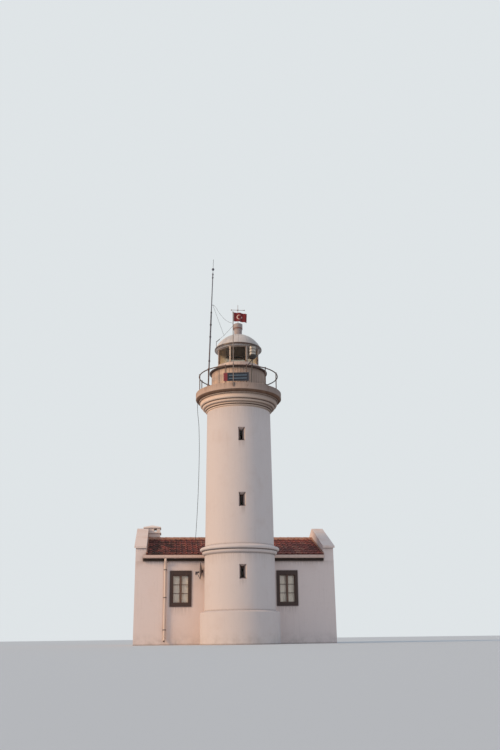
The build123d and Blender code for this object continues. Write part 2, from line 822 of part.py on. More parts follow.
with BuildPart() as house_floor:
    with BuildSketch(Plane.XY.offset(FLOOR_TOP - FLOOR_T)):
        with Locations(((LEFT_IN + RIGHT_IN) / 2, (front_in + back_in) / 2)):
            Rectangle(RIGHT_IN - LEFT_IN, back_in - front_in)
        with Locations((0, front_in)):
            Rectangle(PASSAGE_W, WALL_T, align=(Align.CENTER, Align.MAX))
    extrude(amount=FLOOR_T)
join_all([beside_tower(house_floor.part), tower_floor.part], "ground_floor")


# Roof
def roof_slab(x0, x1, y_eave, y_ridge):
    with BuildPart() as slab:
        with BuildSketch(Plane.YZ.offset(x0)):
            with BuildLine():
                Polyline(
                    (y_eave, roof_under(y_eave)),
                    (y_eave, roof_top(y_eave)),
                    (y_ridge, roof_top(y_ridge)),
                    (y_ridge, roof_under(y_ridge)),
                    close=True,
                )
            make_face()
        extrude(amount=x1 - x0)
    return slab.part


up_slope = Vector(0, 1, ROOF_RISE).normalized()
off_slope = Vector(0, -ROOF_RISE, 1).normalized()
eave_edge = Vector(LEFT_IN, EAVE_Y, EAVE_TOP)
slope_length = (Vector(LEFT_IN, HOUSE_MID_Y, RIDGE_Z) - eave_edge).length + TILE_OVER
courses = round(slope_length / TILE_GAUGE)
gauge = slope_length / courses
columns = round((RIGHT_IN - LEFT_IN) / TILE_W)
tile_w = (RIGHT_IN - LEFT_IN) / columns


def tile_course(number):
    """A row of tiles with their rolls, its foot lifted by the head of the row below."""
    foot = eave_edge + (number * gauge - TILE_OVER) * up_slope + TILE_LIFT * off_slope
    lie = gauge * up_slope - TILE_LIFT * off_slope
    hidden = TILE_T if number < courses - 1 else -2 * TILE_BED
    bed = -TILE_LIFT - TILE_BED
    with BuildPart() as course:
        with BuildSketch(Plane(origin=foot, x_dir=(1, 0, 0), z_dir=-lie)):
            with BuildLine():
                edge = 0
                for column in range(columns):
                    roll = column * tile_w + ROLL_AT
                    Line((edge, TILE_T), (roll - ROLL_W / 2, TILE_T))
                    edge = roll + ROLL_W / 2
                    ThreePointArc((roll - ROLL_W / 2, TILE_T), (roll, TILE_T + ROLL_H), (edge, TILE_T))
                last = columns * tile_w
                Polyline((edge, TILE_T), (last, TILE_T), (last, bed), (0, bed), (0, TILE_T))
            make_face()
        extrude(amount=-lie.length - hidden)
    return course.part


def between(part, x0, x1):
    """The length of the roof from x0 to x1."""
    with BuildPart() as length:
        add(part)
        with Locations(((x0 + x1) / 2, HOUSE_MID_Y, RIDGE_Z)):
            Box(x1 - x0, 2 * HOUSE_DEPTH, 2 * RIDGE_Z, mode=Mode.INTERSECT)
    return length.part


with BuildPart() as front_slope:
    add(roof_slab(LEFT_IN, RIGHT_IN, EAVE_Y, HOUSE_MID_Y))
    add([tile_course(number) for number in range(courses)])
house_middle = Pos(HOUSE_X, HOUSE_MID_Y, 0)
back_slope = house_middle * Rot(0, 0, 180) * house_middle.inverse() * front_slope.part
roof_left = between(front_slope.part, LEFT_IN, -NOTCH_X)
join_all([roof_left, between(front_slope.part, NOTCH_X, RIGHT_IN)], "roof_front_sides")
save(beside_tower(between(front_slope.part, -NOTCH_X, NOTCH_X)), "roof_front_middle")
save(back_slope, "roof_back")

with BuildPart() as ridge_cap:
    y0 = HOUSE_MID_Y - RIDGE_CAP_W
    y1 = HOUSE_MID_Y + RIDGE_CAP_W
    with BuildSketch(Plane.YZ.offset(LEFT_IN)):
        with BuildLine():
            Polyline((y0, roof_top(y0) + RIDGE_CAP_EDGE), (y0, roof_top(y0)), (HOUSE_MID_Y, RIDGE_Z),
                     (y1, roof_top(y1)), (y1, roof_top(y1) + RIDGE_CAP_EDGE))
            ThreePointArc((y1, roof_top(y1) + RIDGE_CAP_EDGE), (HOUSE_MID_Y, RIDGE_Z + RIDGE_CAP_H),
                          (y0, roof_top(y0) + RIDGE_CAP_EDGE))
        make_face()
    extrude(amount=RIGHT_IN - LEFT_IN)
    add([front_slope.part, back_slope], mode=Mode.SUBTRACT)


# Chimney on the back slope and the left gable
def over_roof(part):
    """The part without what would lie in the gable wall, its coping or the roof."""
    with BuildPart() as rest:
        add(part)
        with BuildSketch(Plane.YZ.offset(HOUSE_X - GABLE_OUT - COPING_LIP - 100)):
            with BuildLine():
                Polyline((FRONT_Y, 0), (FRONT_Y, coping_top(FRONT_Y)), (HOUSE_MID_Y, COPING_APEX_Z),
                         (BACK_Y, coping_top(BACK_Y)), (BACK_Y, 0), close=True)
            make_face()
        extrude(amount=GABLE_T + COPING_LIP + 100, mode=Mode.SUBTRACT)
        with BuildSketch(Plane.YZ.offset(LEFT_IN)):
            with BuildLine():
                Polyline((FRONT_Y, 0), (FRONT_Y, roof_top(FRONT_Y)), (HOUSE_MID_Y, RIDGE_Z),
                         (BACK_Y, roof_top(BACK_Y)), (BACK_Y, 0), close=True)
            make_face()
        extrude(amount=RIGHT_IN - LEFT_IN, mode=Mode.SUBTRACT)
        add(back_slope, mode=Mode.SUBTRACT)
    return rest.part


with BuildPart() as chimney_box:
    ledge_w = CHIMNEY_W + 2 * CHIMNEY_LEDGE_OUT
    body_foot = CHIMNEY_LEDGE_Z + CHIMNEY_LEDGE_T
    flue_w = CHIMNEY_W - 2 * FLUE_WALL
    with Locations((CHIMNEY_X, CHIMNEY_Y, CHIMNEY_LEDGE_Z)):
        Box(CHIMNEY_W, CHIMNEY_W, CHIMNEY_BURIED, align=(Align.CENTER, Align.CENTER, Align.MAX))
        Box(ledge_w, ledge_w, CHIMNEY_LEDGE_T, align=upright)
    with Locations((CHIMNEY_X, CHIMNEY_Y, body_foot)):
        Box(CHIMNEY_W, CHIMNEY_W, CHIMNEY_BODY_TOP - body_foot, align=upright)
        Box(flue_w, flue_w, CHIMNEY_BODY_TOP - body_foot, align=upright, mode=Mode.SUBTRACT)
    with Locations((CHIMNEY_X + FLUE_SIDE, CHIMNEY_Y, FLUE_FOOT)):
        Box(FLUE_W, 2 * CHIMNEY_W, FLUE_W, align=upright, mode=Mode.SUBTRACT)
    with Locations((CHIMNEY_X, CHIMNEY_Y + FLUE_SIDE, FLUE_FOOT)):
        Box(2 * CHIMNEY_W, FLUE_W, FLUE_W, align=upright, mode=Mode.SUBTRACT)
    with BuildSketch(Plane.XY.offset(CHIMNEY_BODY_TOP)):
        with Locations((CHIMNEY_X, CHIMNEY_Y)):
            Rectangle(CHIMNEY_CAP_W, CHIMNEY_CAP_W)
    extrude(amount=CHIMNEY_CAP_T)
with BuildPart() as chimney_cap:
    with BuildSketch(Plane.XY.offset(CHIMNEY_BODY_TOP + CHIMNEY_CAP_T)):
        with Locations((CHIMNEY_X, CHIMNEY_Y)):
            Rectangle(CHIMNEY_CAP_W, CHIMNEY_CAP_W)
    with BuildSketch(Plane.XY.offset(CHIMNEY_APEX)):
        with Locations((CHIMNEY_X, CHIMNEY_Y)):
            Rectangle(CHIMNEY_APEX_W, CHIMNEY_APEX_W)
    loft()
with BuildPart() as chimney:
    add(over_roof(chimney_box.part))
    add(chimney_cap.part)
save(chimney.part, "chimney")

with BuildPart() as ridge_beside_chimney:
    add(ridge_cap.part)
    with Locations((CHIMNEY_X, CHIMNEY_Y, CHIMNEY_LEDGE_Z)):
        Box(CHIMNEY_W, CHIMNEY_W, CHIMNEY_BURIED,
            align=(Align.CENTER, Align.CENTER, Align.MAX), mode=Mode.SUBTRACT)
save(ridge_beside_chimney.part, "ridge_cap")


# Eave boards and gutters
def eave_board(x0, x1, y_wall, side):
    """Boxed eave against a wall face; side is -1 at the front and 1 at the back."""
    y_out = y_wall + side * EAVE_BOARD_OUT
    with BuildPart() as board:
        with BuildSketch(Plane.YZ.offset(x0)):
            with BuildLine():
                Polyline(
                    (y_wall, EAVE_BOARD_FOOT),
                    (y_wall, roof_under(y_wall)),
                    (y_out, roof_under(y_out)),
                    (y_out, EAVE_BOARD_FOOT),
                    close=True,
                )
            make_face()
        extrude(amount=x1 - x0)
    return board.part


def gutter(x0, x1, y_board, side):
    """Open channel on the eave board."""
    inner_bevel = GUTTER_BEVEL + 2
    outer = [
        (0, GUTTER_BACK),
        (0, GUTTER_FOOT + GUTTER_BEVEL),
        (GUTTER_BEVEL, GUTTER_FOOT),
        (GUTTER_W - GUTTER_BEVEL, GUTTER_FOOT),
        (GUTTER_W, GUTTER_FOOT + GUTTER_BEVEL),
        (GUTTER_W, GUTTER_FRONT),
    ]
    inner = [
        (GUTTER_W - GUTTER_T, GUTTER_FRONT),
        (GUTTER_W - GUTTER_T, GUTTER_FOOT + inner_bevel),
        (GUTTER_W - inner_bevel, GUTTER_FOOT + GUTTER_T),
        (inner_bevel, GUTTER_FOOT + GUTTER_T),
        (GUTTER_T, GUTTER_FOOT + inner_bevel),
        (GUTTER_T, GUTTER_BACK),
    ]
    with BuildPart() as channel:
        with BuildSketch(Plane.YZ.offset(x0)):
            with BuildLine():
                Polyline(*[(y_board + side * out, z) for out, z in outer + inner], close=True)
            make_face()
        extrude(amount=x1 - x0)
    return channel.part


front_board = FRONT_Y - EAVE_BOARD_OUT
back_board = BACK_Y + EAVE_BOARD_OUT
join_all([
    beside_tower(eave_board(LEFT_IN - EAVE_BOARD_END, -PASSAGE_W, FRONT_Y, -1)),
    beside_tower(eave_board(PASSAGE_W, RIGHT_IN, FRONT_Y, -1)),
    eave_board(LEFT_IN, RIGHT_IN, BACK_Y, 1),
], "eave_boards")
gutters = [
    beside_tower(gutter(LEFT_IN - GUTTER_END, -PASSAGE_W, front_board, -1)),
    beside_tower(gutter(PASSAGE_W, RIGHT_IN, front_board, -1)),
    gutter(LEFT_IN, RIGHT_IN, back_board, 1),
]
join_all(gutters, "gutters")

# Downpipe: outlet under the gutter, bend to the wall, shoe at the foot
outlet_y = front_board - GUTTER_W / 2
pipe_x = FRONT_WINDOWS[0] - WINDOW_W / 2 - PIPE_ASIDE - PIPE_D / 2
pipe_y = FRONT_Y - PIPE_GAP - PIPE_D / 2
with BuildPart() as downpipe:
    with BuildLine():
        FilletPolyline(
            (pipe_x, outlet_y, GUTTER_FOOT),
            (pipe_x, outlet_y, GUTTER_FOOT - PIPE_DROP),
            (pipe_x, pipe_y, GUTTER_FOOT - PIPE_DROP - PIPE_OFFSET),
            (pipe_x, pipe_y, PIPE_FOOT + SHOE_H),
            (pipe_x, pipe_y - SHOE_REACH, PIPE_FOOT),
            radius=PIPE_BEND,
        )
    with BuildSketch(Plane(origin=(pipe_x, outlet_y, GUTTER_FOOT), z_dir=(0, 0, -1))):
        Circle(PIPE_D / 2)
        Circle(PIPE_D / 2 - PIPE_WALL, mode=Mode.SUBTRACT)
    sweep()
save(downpipe.part, "downpipe")


# Windows of the house
def window_pieces(x, y_face, side):
    """Casing, sash, panes, curtains and rod of one window; side is -1 at the front."""
    mid_z = (WINDOW_FOOT + WINDOW_TOP) / 2
    inner_w = WINDOW_W - 2 * CASING_W
    inner_foot = WINDOW_FOOT + CASING_FOOT
    inner_h = WINDOW_H - CASING_TOP - CASING_FOOT
    casing_y = y_face + side * (CASING_OUT - CASING_D / 2)
    sash_y = y_face - side * (SASH_BACK - CASING_OUT + SASH_D / 2)
    with BuildPart() as casing:
        with Locations((x, casing_y, mid_z)):
            Box(WINDOW_W, CASING_D, WINDOW_H)
        with Locations((x, casing_y, inner_foot + inner_h / 2)):
            Box(inner_w, CASING_D, inner_h, mode=Mode.SUBTRACT)
    pane_h = inner_h - 2 * RAIL_W
    pane_w = (inner_w - 2 * RAIL_W - MEETING_W) / 2
    pane_z = inner_foot + inner_h / 2
    pane_places = [(x + across * (MEETING_W + pane_w) / 2, sash_y, pane_z) for across in (-1, 1)]
    with BuildPart() as sash:
        with Locations((x, sash_y, inner_foot + inner_h / 2)):
            Box(inner_w, SASH_D, inner_h)
        with Locations(*pane_places):
            Box(pane_w, SASH_D, pane_h, mode=Mode.SUBTRACT)
    with BuildPart() as sheet:
        with Locations(*pane_places):
            Box(pane_w, GLASS_T, pane_h)
    curtain_y = sash_y - side * (SASH_D / 2 + CURTAIN_BACK + CURTAIN_T / 2)
    curtain_w = (WINDOW_W - CURTAIN_PART) / 2 - CURTAIN_SIDE
    rod_z = WINDOW_TOP - CURTAIN_ROD_DROP
    curtain_h = rod_z - CURTAIN_ROD_D / 2 - WINDOW_FOOT - CURTAIN_CLEAR
    with BuildPart() as curtain:
        for across in (-1, 1):
            curtain_x = x + across * (curtain_w + CURTAIN_PART) / 2
            with Locations((curtain_x, curtain_y, WINDOW_FOOT + CURTAIN_CLEAR)):
                Box(curtain_w, CURTAIN_T, curtain_h, align=(Align.CENTER, Align.CENTER, Align.MIN))
    with BuildPart() as rod:
        with Locations((x, curtain_y, rod_z)):
            Cylinder(CURTAIN_ROD_D / 2, WINDOW_W, rotation=(0, 90, 0))
    return casing.part, sash.part, sheet.part, curtain.part, rod.part


windows = [window_pieces(x, FRONT_Y, -1) for x in FRONT_WINDOWS]
windows += [window_pieces(x, BACK_Y, 1) for x in BACK_WINDOWS]
casings, sashes, sheets, curtains, rods = zip(*windows)
join_all([*sashes, *slot_sashes], "window_sashes")
join_all([*sheets, *slot_panes], "window_glass")
join_all(curtains, "curtains")
join_all(rods, "curtain_rods")

# Back door: casing, closed leaf and a step
with BuildPart() as door_casing:
    casing_y = BACK_Y + CASING_OUT - CASING_D / 2
    with Locations((HOUSE_X, casing_y, FLOOR_TOP)):
        Box(DOOR_W, CASING_D, DOOR_TOP - FLOOR_TOP, align=(Align.CENTER, Align.CENTER, Align.MIN))
        Box(DOOR_W - 2 * DOOR_CASING, CASING_D, DOOR_TOP - FLOOR_TOP - DOOR_CASING,
            align=(Align.CENTER, Align.CENTER, Align.MIN), mode=Mode.SUBTRACT)
join_all([*casings, door_casing.part], "window_and_door_casings")
with BuildPart() as back_door:
    leaf_h = DOOR_TOP - FLOOR_TOP - DOOR_CASING
    leaf_w = DOOR_W - 2 * DOOR_CASING
    leaf_y = BACK_Y - SASH_BACK
    with Locations((HOUSE_X, leaf_y, FLOOR_TOP)):
        Box(leaf_w, DOOR_T, leaf_h, align=(Align.CENTER, Align.CENTER, Align.MIN))
    for low, high in DOOR_PANELS:
        for across in (-1, 1):
            panel_x = HOUSE_X + across * leaf_w / 4
            panel_z = FLOOR_TOP + (low + high) / 2
            with Locations((panel_x, leaf_y + DOOR_T / 2, panel_z)):
                Box(leaf_w / 2 - 2 * DOOR_PANEL_RIM, 2 * DOOR_PANEL_SINK, high - low, mode=Mode.SUBTRACT)
    knob_y = leaf_y + (DOOR_T + DOOR_KNOB_STEM) / 2
    with Locations((HOUSE_X + leaf_w / 2 - DOOR_KNOB_EDGE, knob_y, FLOOR_TOP + DOOR_KNOB_Z)):
        Cylinder(DOOR_KNOB_STEM_D / 2, DOOR_KNOB_STEM, rotation=(90, 0, 0))
        Sphere(DOOR_KNOB_R)
save(back_door.part, "back_door")
with BuildPart() as back_step:
    with Locations((HOUSE_X, BACK_Y, 0)):
        Box(DOOR_W + 2 * STEP_SIDE, 2 * STEP_D, FLOOR_TOP / 3, align=(Align.CENTER, Align.MIN, Align.MIN))
        Box(DOOR_W + 2 * STEP_SIDE, STEP_D, 2 * FLOOR_TOP / 3, align=(Align.CENTER, Align.MIN, Align.MIN))
save(back_step.part, "back_step")


# Mast inside the railing, leaning a little towards the tower
MAST_AXIS = (MAST_TIP[0] - MAST_FOOT[0], MAST_TIP[1] - MAST_FOOT[1], MAST_TIP[2] - DECK_Z)
mast_length = sqrt(sum(v * v for v in MAST_AXIS))
mast_lean = mast_length / MAST_AXIS[2]
mast_plane = Plane(origin=(*MAST_FOOT, DECK_Z), z_dir=MAST_AXIS)


def up_mast(z):
    """Distance along the mast to a height."""
    return (z - DECK_Z) * mast_lean


def mast_point(z):
    share = (z - DECK_Z) / MAST_AXIS[2]
    return (MAST_FOOT[0] + share * MAST_AXIS[0], MAST_FOOT[1] + share * MAST_AXIS[1], z)


with BuildPart() as mast:
    with BuildSketch(Plane(origin=mast_plane.origin, x_dir=mast_plane.x_dir, z_dir=-mast_plane.y_dir)):
        with BuildLine():
            Polyline(
                (0, 0),
                (MAST_LOW_D / 2, 0),
                (MAST_LOW_D / 2, up_mast(MAST_STEP_Z)),
                (MAST_HIGH_D / 2, up_mast(MAST_STEP_Z) + MAST_TAPER),
                (MAST_HIGH_D / 2, up_mast(MAST_POLE_TOP)),
                (MAST_SPIKE_D / 2, up_mast(MAST_POLE_TOP) + MAST_TAPER),
                (MAST_SPIKE_D / 2, up_mast(MAST_TIP[2]) - MAST_POINT),
                (0, up_mast(MAST_TIP[2])),
                close=True,
            )
        make_face()
    revolve(axis=Axis((*MAST_FOOT, DECK_Z), MAST_AXIS))
    for z in MAST_COLLARS:
        radius = MAST_LOW_D if z < MAST_STEP_Z else MAST_HIGH_D
        with BuildSketch(mast_plane.offset(up_mast(z))):
            Circle(radius / 2 + MAST_COLLAR_OUT)
        extrude(amount=MAST_COLLAR_H)
    with Locations(mast_point(MAST_BALL_Z)):
        Sphere(MAST_BALL_R)
    with Locations((*MAST_FOOT, DECK_Z)):
        Cylinder(MAST_PLATE_R, MAST_PLATE_T, align=(Align.CENTER, Align.CENTER, Align.MIN))
    with BuildSketch(mast_plane):
        Circle(MAST_LOW_D / 2 + 1.5 * MAST_COLLAR_OUT)
    extrude(amount=MAST_SOCKET_H)
    split(bisect_by=Plane.XY.offset(DECK_Z), keep=Keep.TOP)
    with BuildSketch(Plane.YZ.offset(mast_point(WIRE_ARM_Z)[0])):
        with Locations((mast_point(WIRE_ARM_Z)[1], WIRE_ARM_Z)):
            Circle(WIRE_ARM_D / 2)
    extrude(amount=WIRE_ARM)
save(mast.part, "mast")

# Flagpole outside the railing, held by clamps on the slab's edge and the rail
flagpole_y = -sqrt(FLAGPOLE_R ** 2 - FLAGPOLE_X ** 2)
flagpole_angle = degrees(atan2(FLAGPOLE_X, -flagpole_y))


def pole_clamp(angle, r_from, r_to, z):
    """Flat bar from a radius out to a pole."""
    with BuildPart() as clamp:
        with Locations(Location(around(angle, (r_from + r_to) / 2, z), (0, 0, angle))):
            Box(CLAMP_W, r_to - r_from, CLAMP_H)
        with Locations(around(angle, r_to, z)):
            Cylinder(FLAGPOLE_D / 2 + CLAMP_OUT, CLAMP_H)
    return clamp.part


with BuildPart() as flagpole:
    with Locations((FLAGPOLE_X, flagpole_y, FLAGPOLE_FOOT)):
        Cylinder(FLAGPOLE_D / 2, FLAGPOLE_TOP - FLAGPOLE_FOOT, align=(Align.CENTER, Align.CENTER, Align.MIN))
    with Locations((FLAGPOLE_X, flagpole_y, FLAGPOLE_TOP)):
        Sphere(FLAGPOLE_D * 0.8)
    add(pole_clamp(flagpole_angle, SLAB_R - ARRIS, FLAGPOLE_R, DECK_Z - CLAMP_H))
    add(pole_clamp(flagpole_angle, RAIL_R + RAIL_D / 4, FLAGPOLE_R, RAIL_Z))
    add(gallery_slab.part, mode=Mode.SUBTRACT)
    add(gallery_top_rail.part, mode=Mode.SUBTRACT)
save(flagpole.part, "flagpole")

with BuildPart() as flag:
    with Locations((FLAGPOLE_X + FLAGPOLE_D / 2 + SEAT, flagpole_y, FLAGPOLE_TOP - FLAG_DROP)):
        Box(FLAG_W, FLAG_T, FLAG_H, align=(Align.MIN, Align.CENTER, Align.MAX))
save(flag.part, "flag")

# Sign board on two posts of the railing
sign_plane_r = RAIL_R * cos(radians(POST_START - SIGN_TURN)) + POST_D / 2
sign_a = radians(SIGN_TURN)
sign_plane = Plane(
    origin=around(SIGN_TURN, sign_plane_r + SEAT, SIGN_FOOT),
    x_dir=(cos(sign_a), sin(sign_a), 0),
    z_dir=(sin(sign_a), -cos(sign_a), 0),
)
with BuildPart() as sign_board:
    with BuildSketch(sign_plane):
        with Locations((0, SIGN_H / 2)):
            RectangleRounded(SIGN_W, SIGN_H, SIGN_CORNER)
    extrude(amount=SIGN_T)
save(sign_board.part, "sign_board")

# Second light: pole, dark base, ribbed clear drum
aux_y = -sqrt(AUX_POLE_R ** 2 - AUX_X ** 2)
aux_clamp_x = AUX_X + (AUX_TOP_X - AUX_X) * RAIL_H / (AUX_PLATE_Z - DECK_Z)
aux_clamp_angle = degrees(atan2(aux_clamp_x, -aux_y))
aux_clamp_r = sqrt(aux_clamp_x ** 2 + aux_y ** 2)
with BuildPart() as aux_pole:
    with BuildLine():
        Line((AUX_X, aux_y, DECK_Z), (AUX_TOP_X, aux_y, AUX_PLATE_Z))
    aux_lean = (AUX_TOP_X - AUX_X, 0, AUX_PLATE_Z - DECK_Z)
    with BuildSketch(Plane(origin=(AUX_X, aux_y, DECK_Z), z_dir=aux_lean)):
        Circle(AUX_POLE_D / 2)
    sweep()
    split(bisect_by=Plane.XY.offset(DECK_Z), keep=Keep.TOP)
with BuildPart() as aux_base:
    add(aux_pole.part)
    with Locations((AUX_TOP_X, aux_y, AUX_PLATE_Z)):
        Cone(AUX_BASE_R / 2, AUX_BASE_R, AUX_BASE_H - AUX_BASE_RIM, align=upright)
    with Locations((AUX_TOP_X, aux_y, AUX_PLATE_Z + AUX_BASE_H - AUX_BASE_RIM)):
        Cylinder(AUX_BASE_R, AUX_BASE_RIM, align=upright)
    aux_clamp_at = around(aux_clamp_angle, (RAIL_R + aux_clamp_r) / 2, RAIL_Z)
    with Locations(Location(aux_clamp_at, (0, 0, aux_clamp_angle))):
        Box(CLAMP_W, aux_clamp_r - RAIL_R, CLAMP_H)
    with Locations(around(aux_clamp_angle, aux_clamp_r, RAIL_Z)):
        Cylinder(AUX_POLE_D / 2 + CLAMP_OUT, CLAMP_H)
    add(gallery_top_rail.part, mode=Mode.SUBTRACT)
aux_drum_foot = AUX_PLATE_Z + AUX_BASE_H
with BuildPart() as aux_drum:
    with Locations((AUX_TOP_X, aux_y, aux_drum_foot)):
        Cylinder(AUX_DRUM_R - AUX_GROOVE, AUX_DRUM_H, align=upright)
    for k in range(AUX_RINGS):
        with Locations((AUX_TOP_X, aux_y, aux_drum_foot + (k + 0.5) * AUX_DRUM_H / AUX_RINGS)):
            Cylinder(AUX_DRUM_R, AUX_DRUM_H / AUX_RINGS * AUX_RING_SHARE)
save(aux_drum.part, "aux_light_lens")
with BuildPart() as aux_cap:
    with Locations((AUX_TOP_X, aux_y, aux_drum_foot + AUX_DRUM_H)):
        Cylinder(AUX_DRUM_R + AUX_CAP_OUT, AUX_CAP_T, align=upright)
join_all([aux_base.part, aux_cap.part], "aux_light_housing")

# Dish edge-on to the front: bowl open to -X, feed on an arm, bracket to the house wall
dish_centre = (DISH_X, DISH_Y, DISH_Z)
rim_x = DISH_X - DISH_DEPTH
feed_x = rim_x - DISH_FEED_OUT
bracket_x = DISH_X + DISH_T / 2
tube_x = bracket_x + DISH_STAND - DISH_TUBE / 2
arm_foot = (rim_x, DISH_Y, DISH_Z - DISH_R + DISH_RIM_IN)
arm_head = (feed_x, DISH_Y, DISH_Z - DISH_FEED_DROP)
with BuildPart() as satellite_dish:
    with BuildSketch(Plane(origin=dish_centre, x_dir=(0, 0, 1), z_dir=(0, -1, 0))):
        with BuildLine():
            ThreePointArc((0, 0), (DISH_R / 2, DISH_DEPTH / 4), (DISH_R, DISH_DEPTH))
            Line((DISH_R, DISH_DEPTH), (DISH_R, DISH_DEPTH - DISH_T))
            ThreePointArc((DISH_R, DISH_DEPTH - DISH_T), (DISH_R / 2, DISH_DEPTH / 4 - DISH_T), (0, -DISH_T))
            Line((0, -DISH_T), (0, 0))
        make_face()
    revolve(axis=Axis(dish_centre, (-1, 0, 0)))
    with BuildLine():
        Line(arm_foot, arm_head)
    with BuildSketch(Plane(origin=arm_foot, z_dir=Vector(*arm_head) - Vector(*arm_foot))):
        Rectangle(DISH_ARM_W, DISH_ARM_W)
    sweep()
    with BuildSketch(Plane.YZ.offset(feed_x - DISH_FEED_L / 2)):
        with Locations((DISH_Y, DISH_Z - DISH_FEED_DROP)):
            Circle(DISH_FEED_R)
    extrude(amount=DISH_FEED_L)
    with BuildSketch(Plane.YZ.offset(bracket_x)):
        with Locations((DISH_Y, DISH_Z)):
            Circle(DISH_PLATE / 2)
    extrude(amount=DISH_STAND)
    with BuildSketch(Plane(origin=(tube_x, DISH_Y, DISH_Z), z_dir=(0, 1, 0))):
        Circle(DISH_TUBE / 2)
    extrude(amount=FRONT_Y - DISH_Y)
    with BuildSketch(Plane(origin=(tube_x, FRONT_Y, DISH_Z), z_dir=(0, -1, 0))):
        Rectangle(DISH_PLATE, DISH_PLATE)
    extrude(amount=DISH_PLATE_T)
save(satellite_dish.part, "satellite_dish")


# Wires between mast, flagpole and lantern roof
def bend_radii(points):
    """Radii of the arcs between straight runs, nearly as large as the runs allow."""
    runs = [Vector(*b) - Vector(*a) for a, b in zip(points, points[1:])]
    radii = []
    for first, second in zip(runs, runs[1:]):
        half_turn = radians(first.get_angle(second)) / 2
        radii.append(BEND_SHARE * min(first.length, second.length) / tan(half_turn))
    return radii


def tube(points, diameter):
    """Solid tube along the points."""
    with BuildPart() as wire:
        with BuildLine():
            if len(points) == 2:
                Line(*points)
            else:
                FilletPolyline(*points, radius=bend_radii(points))
        with BuildSketch(Plane(origin=points[0], z_dir=Vector(*points[1]) - Vector(*points[0]))):
            Circle(diameter / 2)
        sweep()
    return wire.part


arm_x, arm_y, arm_z = mast_point(WIRE_ARM_Z)
arm_end = (arm_x + WIRE_ARM - WIRE_D, arm_y, arm_z)
SAG_ROUTE = [
    arm_end,
    (-1100, -1132, 14620),
    (-965, -1275, 14285),
    (-738, -1521, 13885),
    (-560, -1715, 13675),
    (FLAGPOLE_X, flagpole_y, WIRE_ENDS_Z[0]),
]
insulator_share = INSULATOR_L / (Vector(*WIRE_KNOT) - Vector(*ROOF_ANCHOR)).length
insulator_end = tuple(a + insulator_share * (b - a) for a, b in zip(ROOF_ANCHOR, WIRE_KNOT))
with BuildPart() as wire_knot:
    with Locations(WIRE_KNOT):
        Sphere(1.2 * WIRE_D)
    add(tube([(arm_end[0] - 3 * WIRE_D, arm_y, arm_z), WIRE_KNOT], WIRE_D))
    add(tube([ROOF_ANCHOR, WIRE_KNOT], WIRE_D))
    add(tube([WIRE_KNOT, (FLAGPOLE_X, flagpole_y, WIRE_ENDS_Z[1])], WIRE_D))
with BuildPart() as roof_anchor:
    add(tube([ROOF_ANCHOR, insulator_end], INSULATOR_D))
    with Locations((*ROOF_ANCHOR[:2], ANCHOR_FOOT)):
        Cylinder(WIRE_D, ROOF_ANCHOR[2] - ANCHOR_FOOT + 2 * WIRE_D, align=upright)
with BuildPart() as aerial_wires:
    add(wire_knot.part)
    add(roof_anchor.part)
    add(mast.part, mode=Mode.SUBTRACT)
    add(flagpole.part, mode=Mode.SUBTRACT)
    add(lantern_roof.part, mode=Mode.SUBTRACT)
with BuildPart() as sagging_wire:
    add(tube(SAG_ROUTE, WIRE_D))
    add(mast.part, mode=Mode.SUBTRACT)
    add(flagpole.part, mode=Mode.SUBTRACT)
join_all([aerial_wires.part, sagging_wire.part], "aerial_wires")

# Lead from under the gallery down to the roof of the house
LEAD_ROUTE = [
    (-1866, -110, SLAB_FOOT + 120),
    (-1860, 40, 9990),
    (-1780, 330, 9480),
    (-1728, 900, 8480),
    (-1722, 1760, 6950),
    (-1757, 2560, 5520),
    (-1806, 3100, 4474),
]
with BuildPart() as gallery_lead:
    add(tube(LEAD_ROUTE, LEAD_D))
    with Locations((*LEAD_ROUTE[-1][:2], roof_top(LEAD_ROUTE[-1][1]) + TILE_T + TILE_LIFT / 2)):
        Sphere(LEAD_GRIP * LEAD_D)
    add(gallery_slab.part, mode=Mode.SUBTRACT)
    add(roof_left, mode=Mode.SUBTRACT)
save(gallery_lead.part, "gallery_lead")
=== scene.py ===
"""The looks of a small lighthouse with its keeper's house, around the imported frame.

Roof tiles, ridge tiles, curtains, flag and small fittings are modelled here, and
every surface gets its finish. Metres, +Z up, the front faces -Y.
"""
import math
import bpy
from mathutils import Matrix, Vector

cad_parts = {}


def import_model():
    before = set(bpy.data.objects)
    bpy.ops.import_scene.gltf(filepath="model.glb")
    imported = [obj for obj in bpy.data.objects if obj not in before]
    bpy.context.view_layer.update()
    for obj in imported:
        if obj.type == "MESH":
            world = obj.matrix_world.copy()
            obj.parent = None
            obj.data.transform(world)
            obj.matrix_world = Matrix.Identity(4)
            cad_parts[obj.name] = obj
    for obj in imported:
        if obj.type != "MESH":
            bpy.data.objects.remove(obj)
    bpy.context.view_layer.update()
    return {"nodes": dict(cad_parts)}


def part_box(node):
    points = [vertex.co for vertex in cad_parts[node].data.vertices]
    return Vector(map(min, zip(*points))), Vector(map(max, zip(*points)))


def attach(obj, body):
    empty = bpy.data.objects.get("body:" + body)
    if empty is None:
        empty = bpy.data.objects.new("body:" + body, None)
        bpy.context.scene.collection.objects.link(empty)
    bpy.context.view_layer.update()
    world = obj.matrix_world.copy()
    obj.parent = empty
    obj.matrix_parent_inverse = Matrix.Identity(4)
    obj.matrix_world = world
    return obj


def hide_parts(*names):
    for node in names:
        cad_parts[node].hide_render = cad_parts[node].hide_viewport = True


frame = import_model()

# Camera, where the photographer stood, in front of the tower and a little to its left
CAMERA_AWAY = 35.0
CAMERA_BEARING = 4.96   # degrees from the front
CAMERA_HEIGHT = 0.25
CAMERA_AIM = 5.84       # degrees from +Y to +X
CAMERA_PITCH = 18.2
CAMERA_ROLL = 0.7
LENS = 38.4             # mm on a 36 mm long side

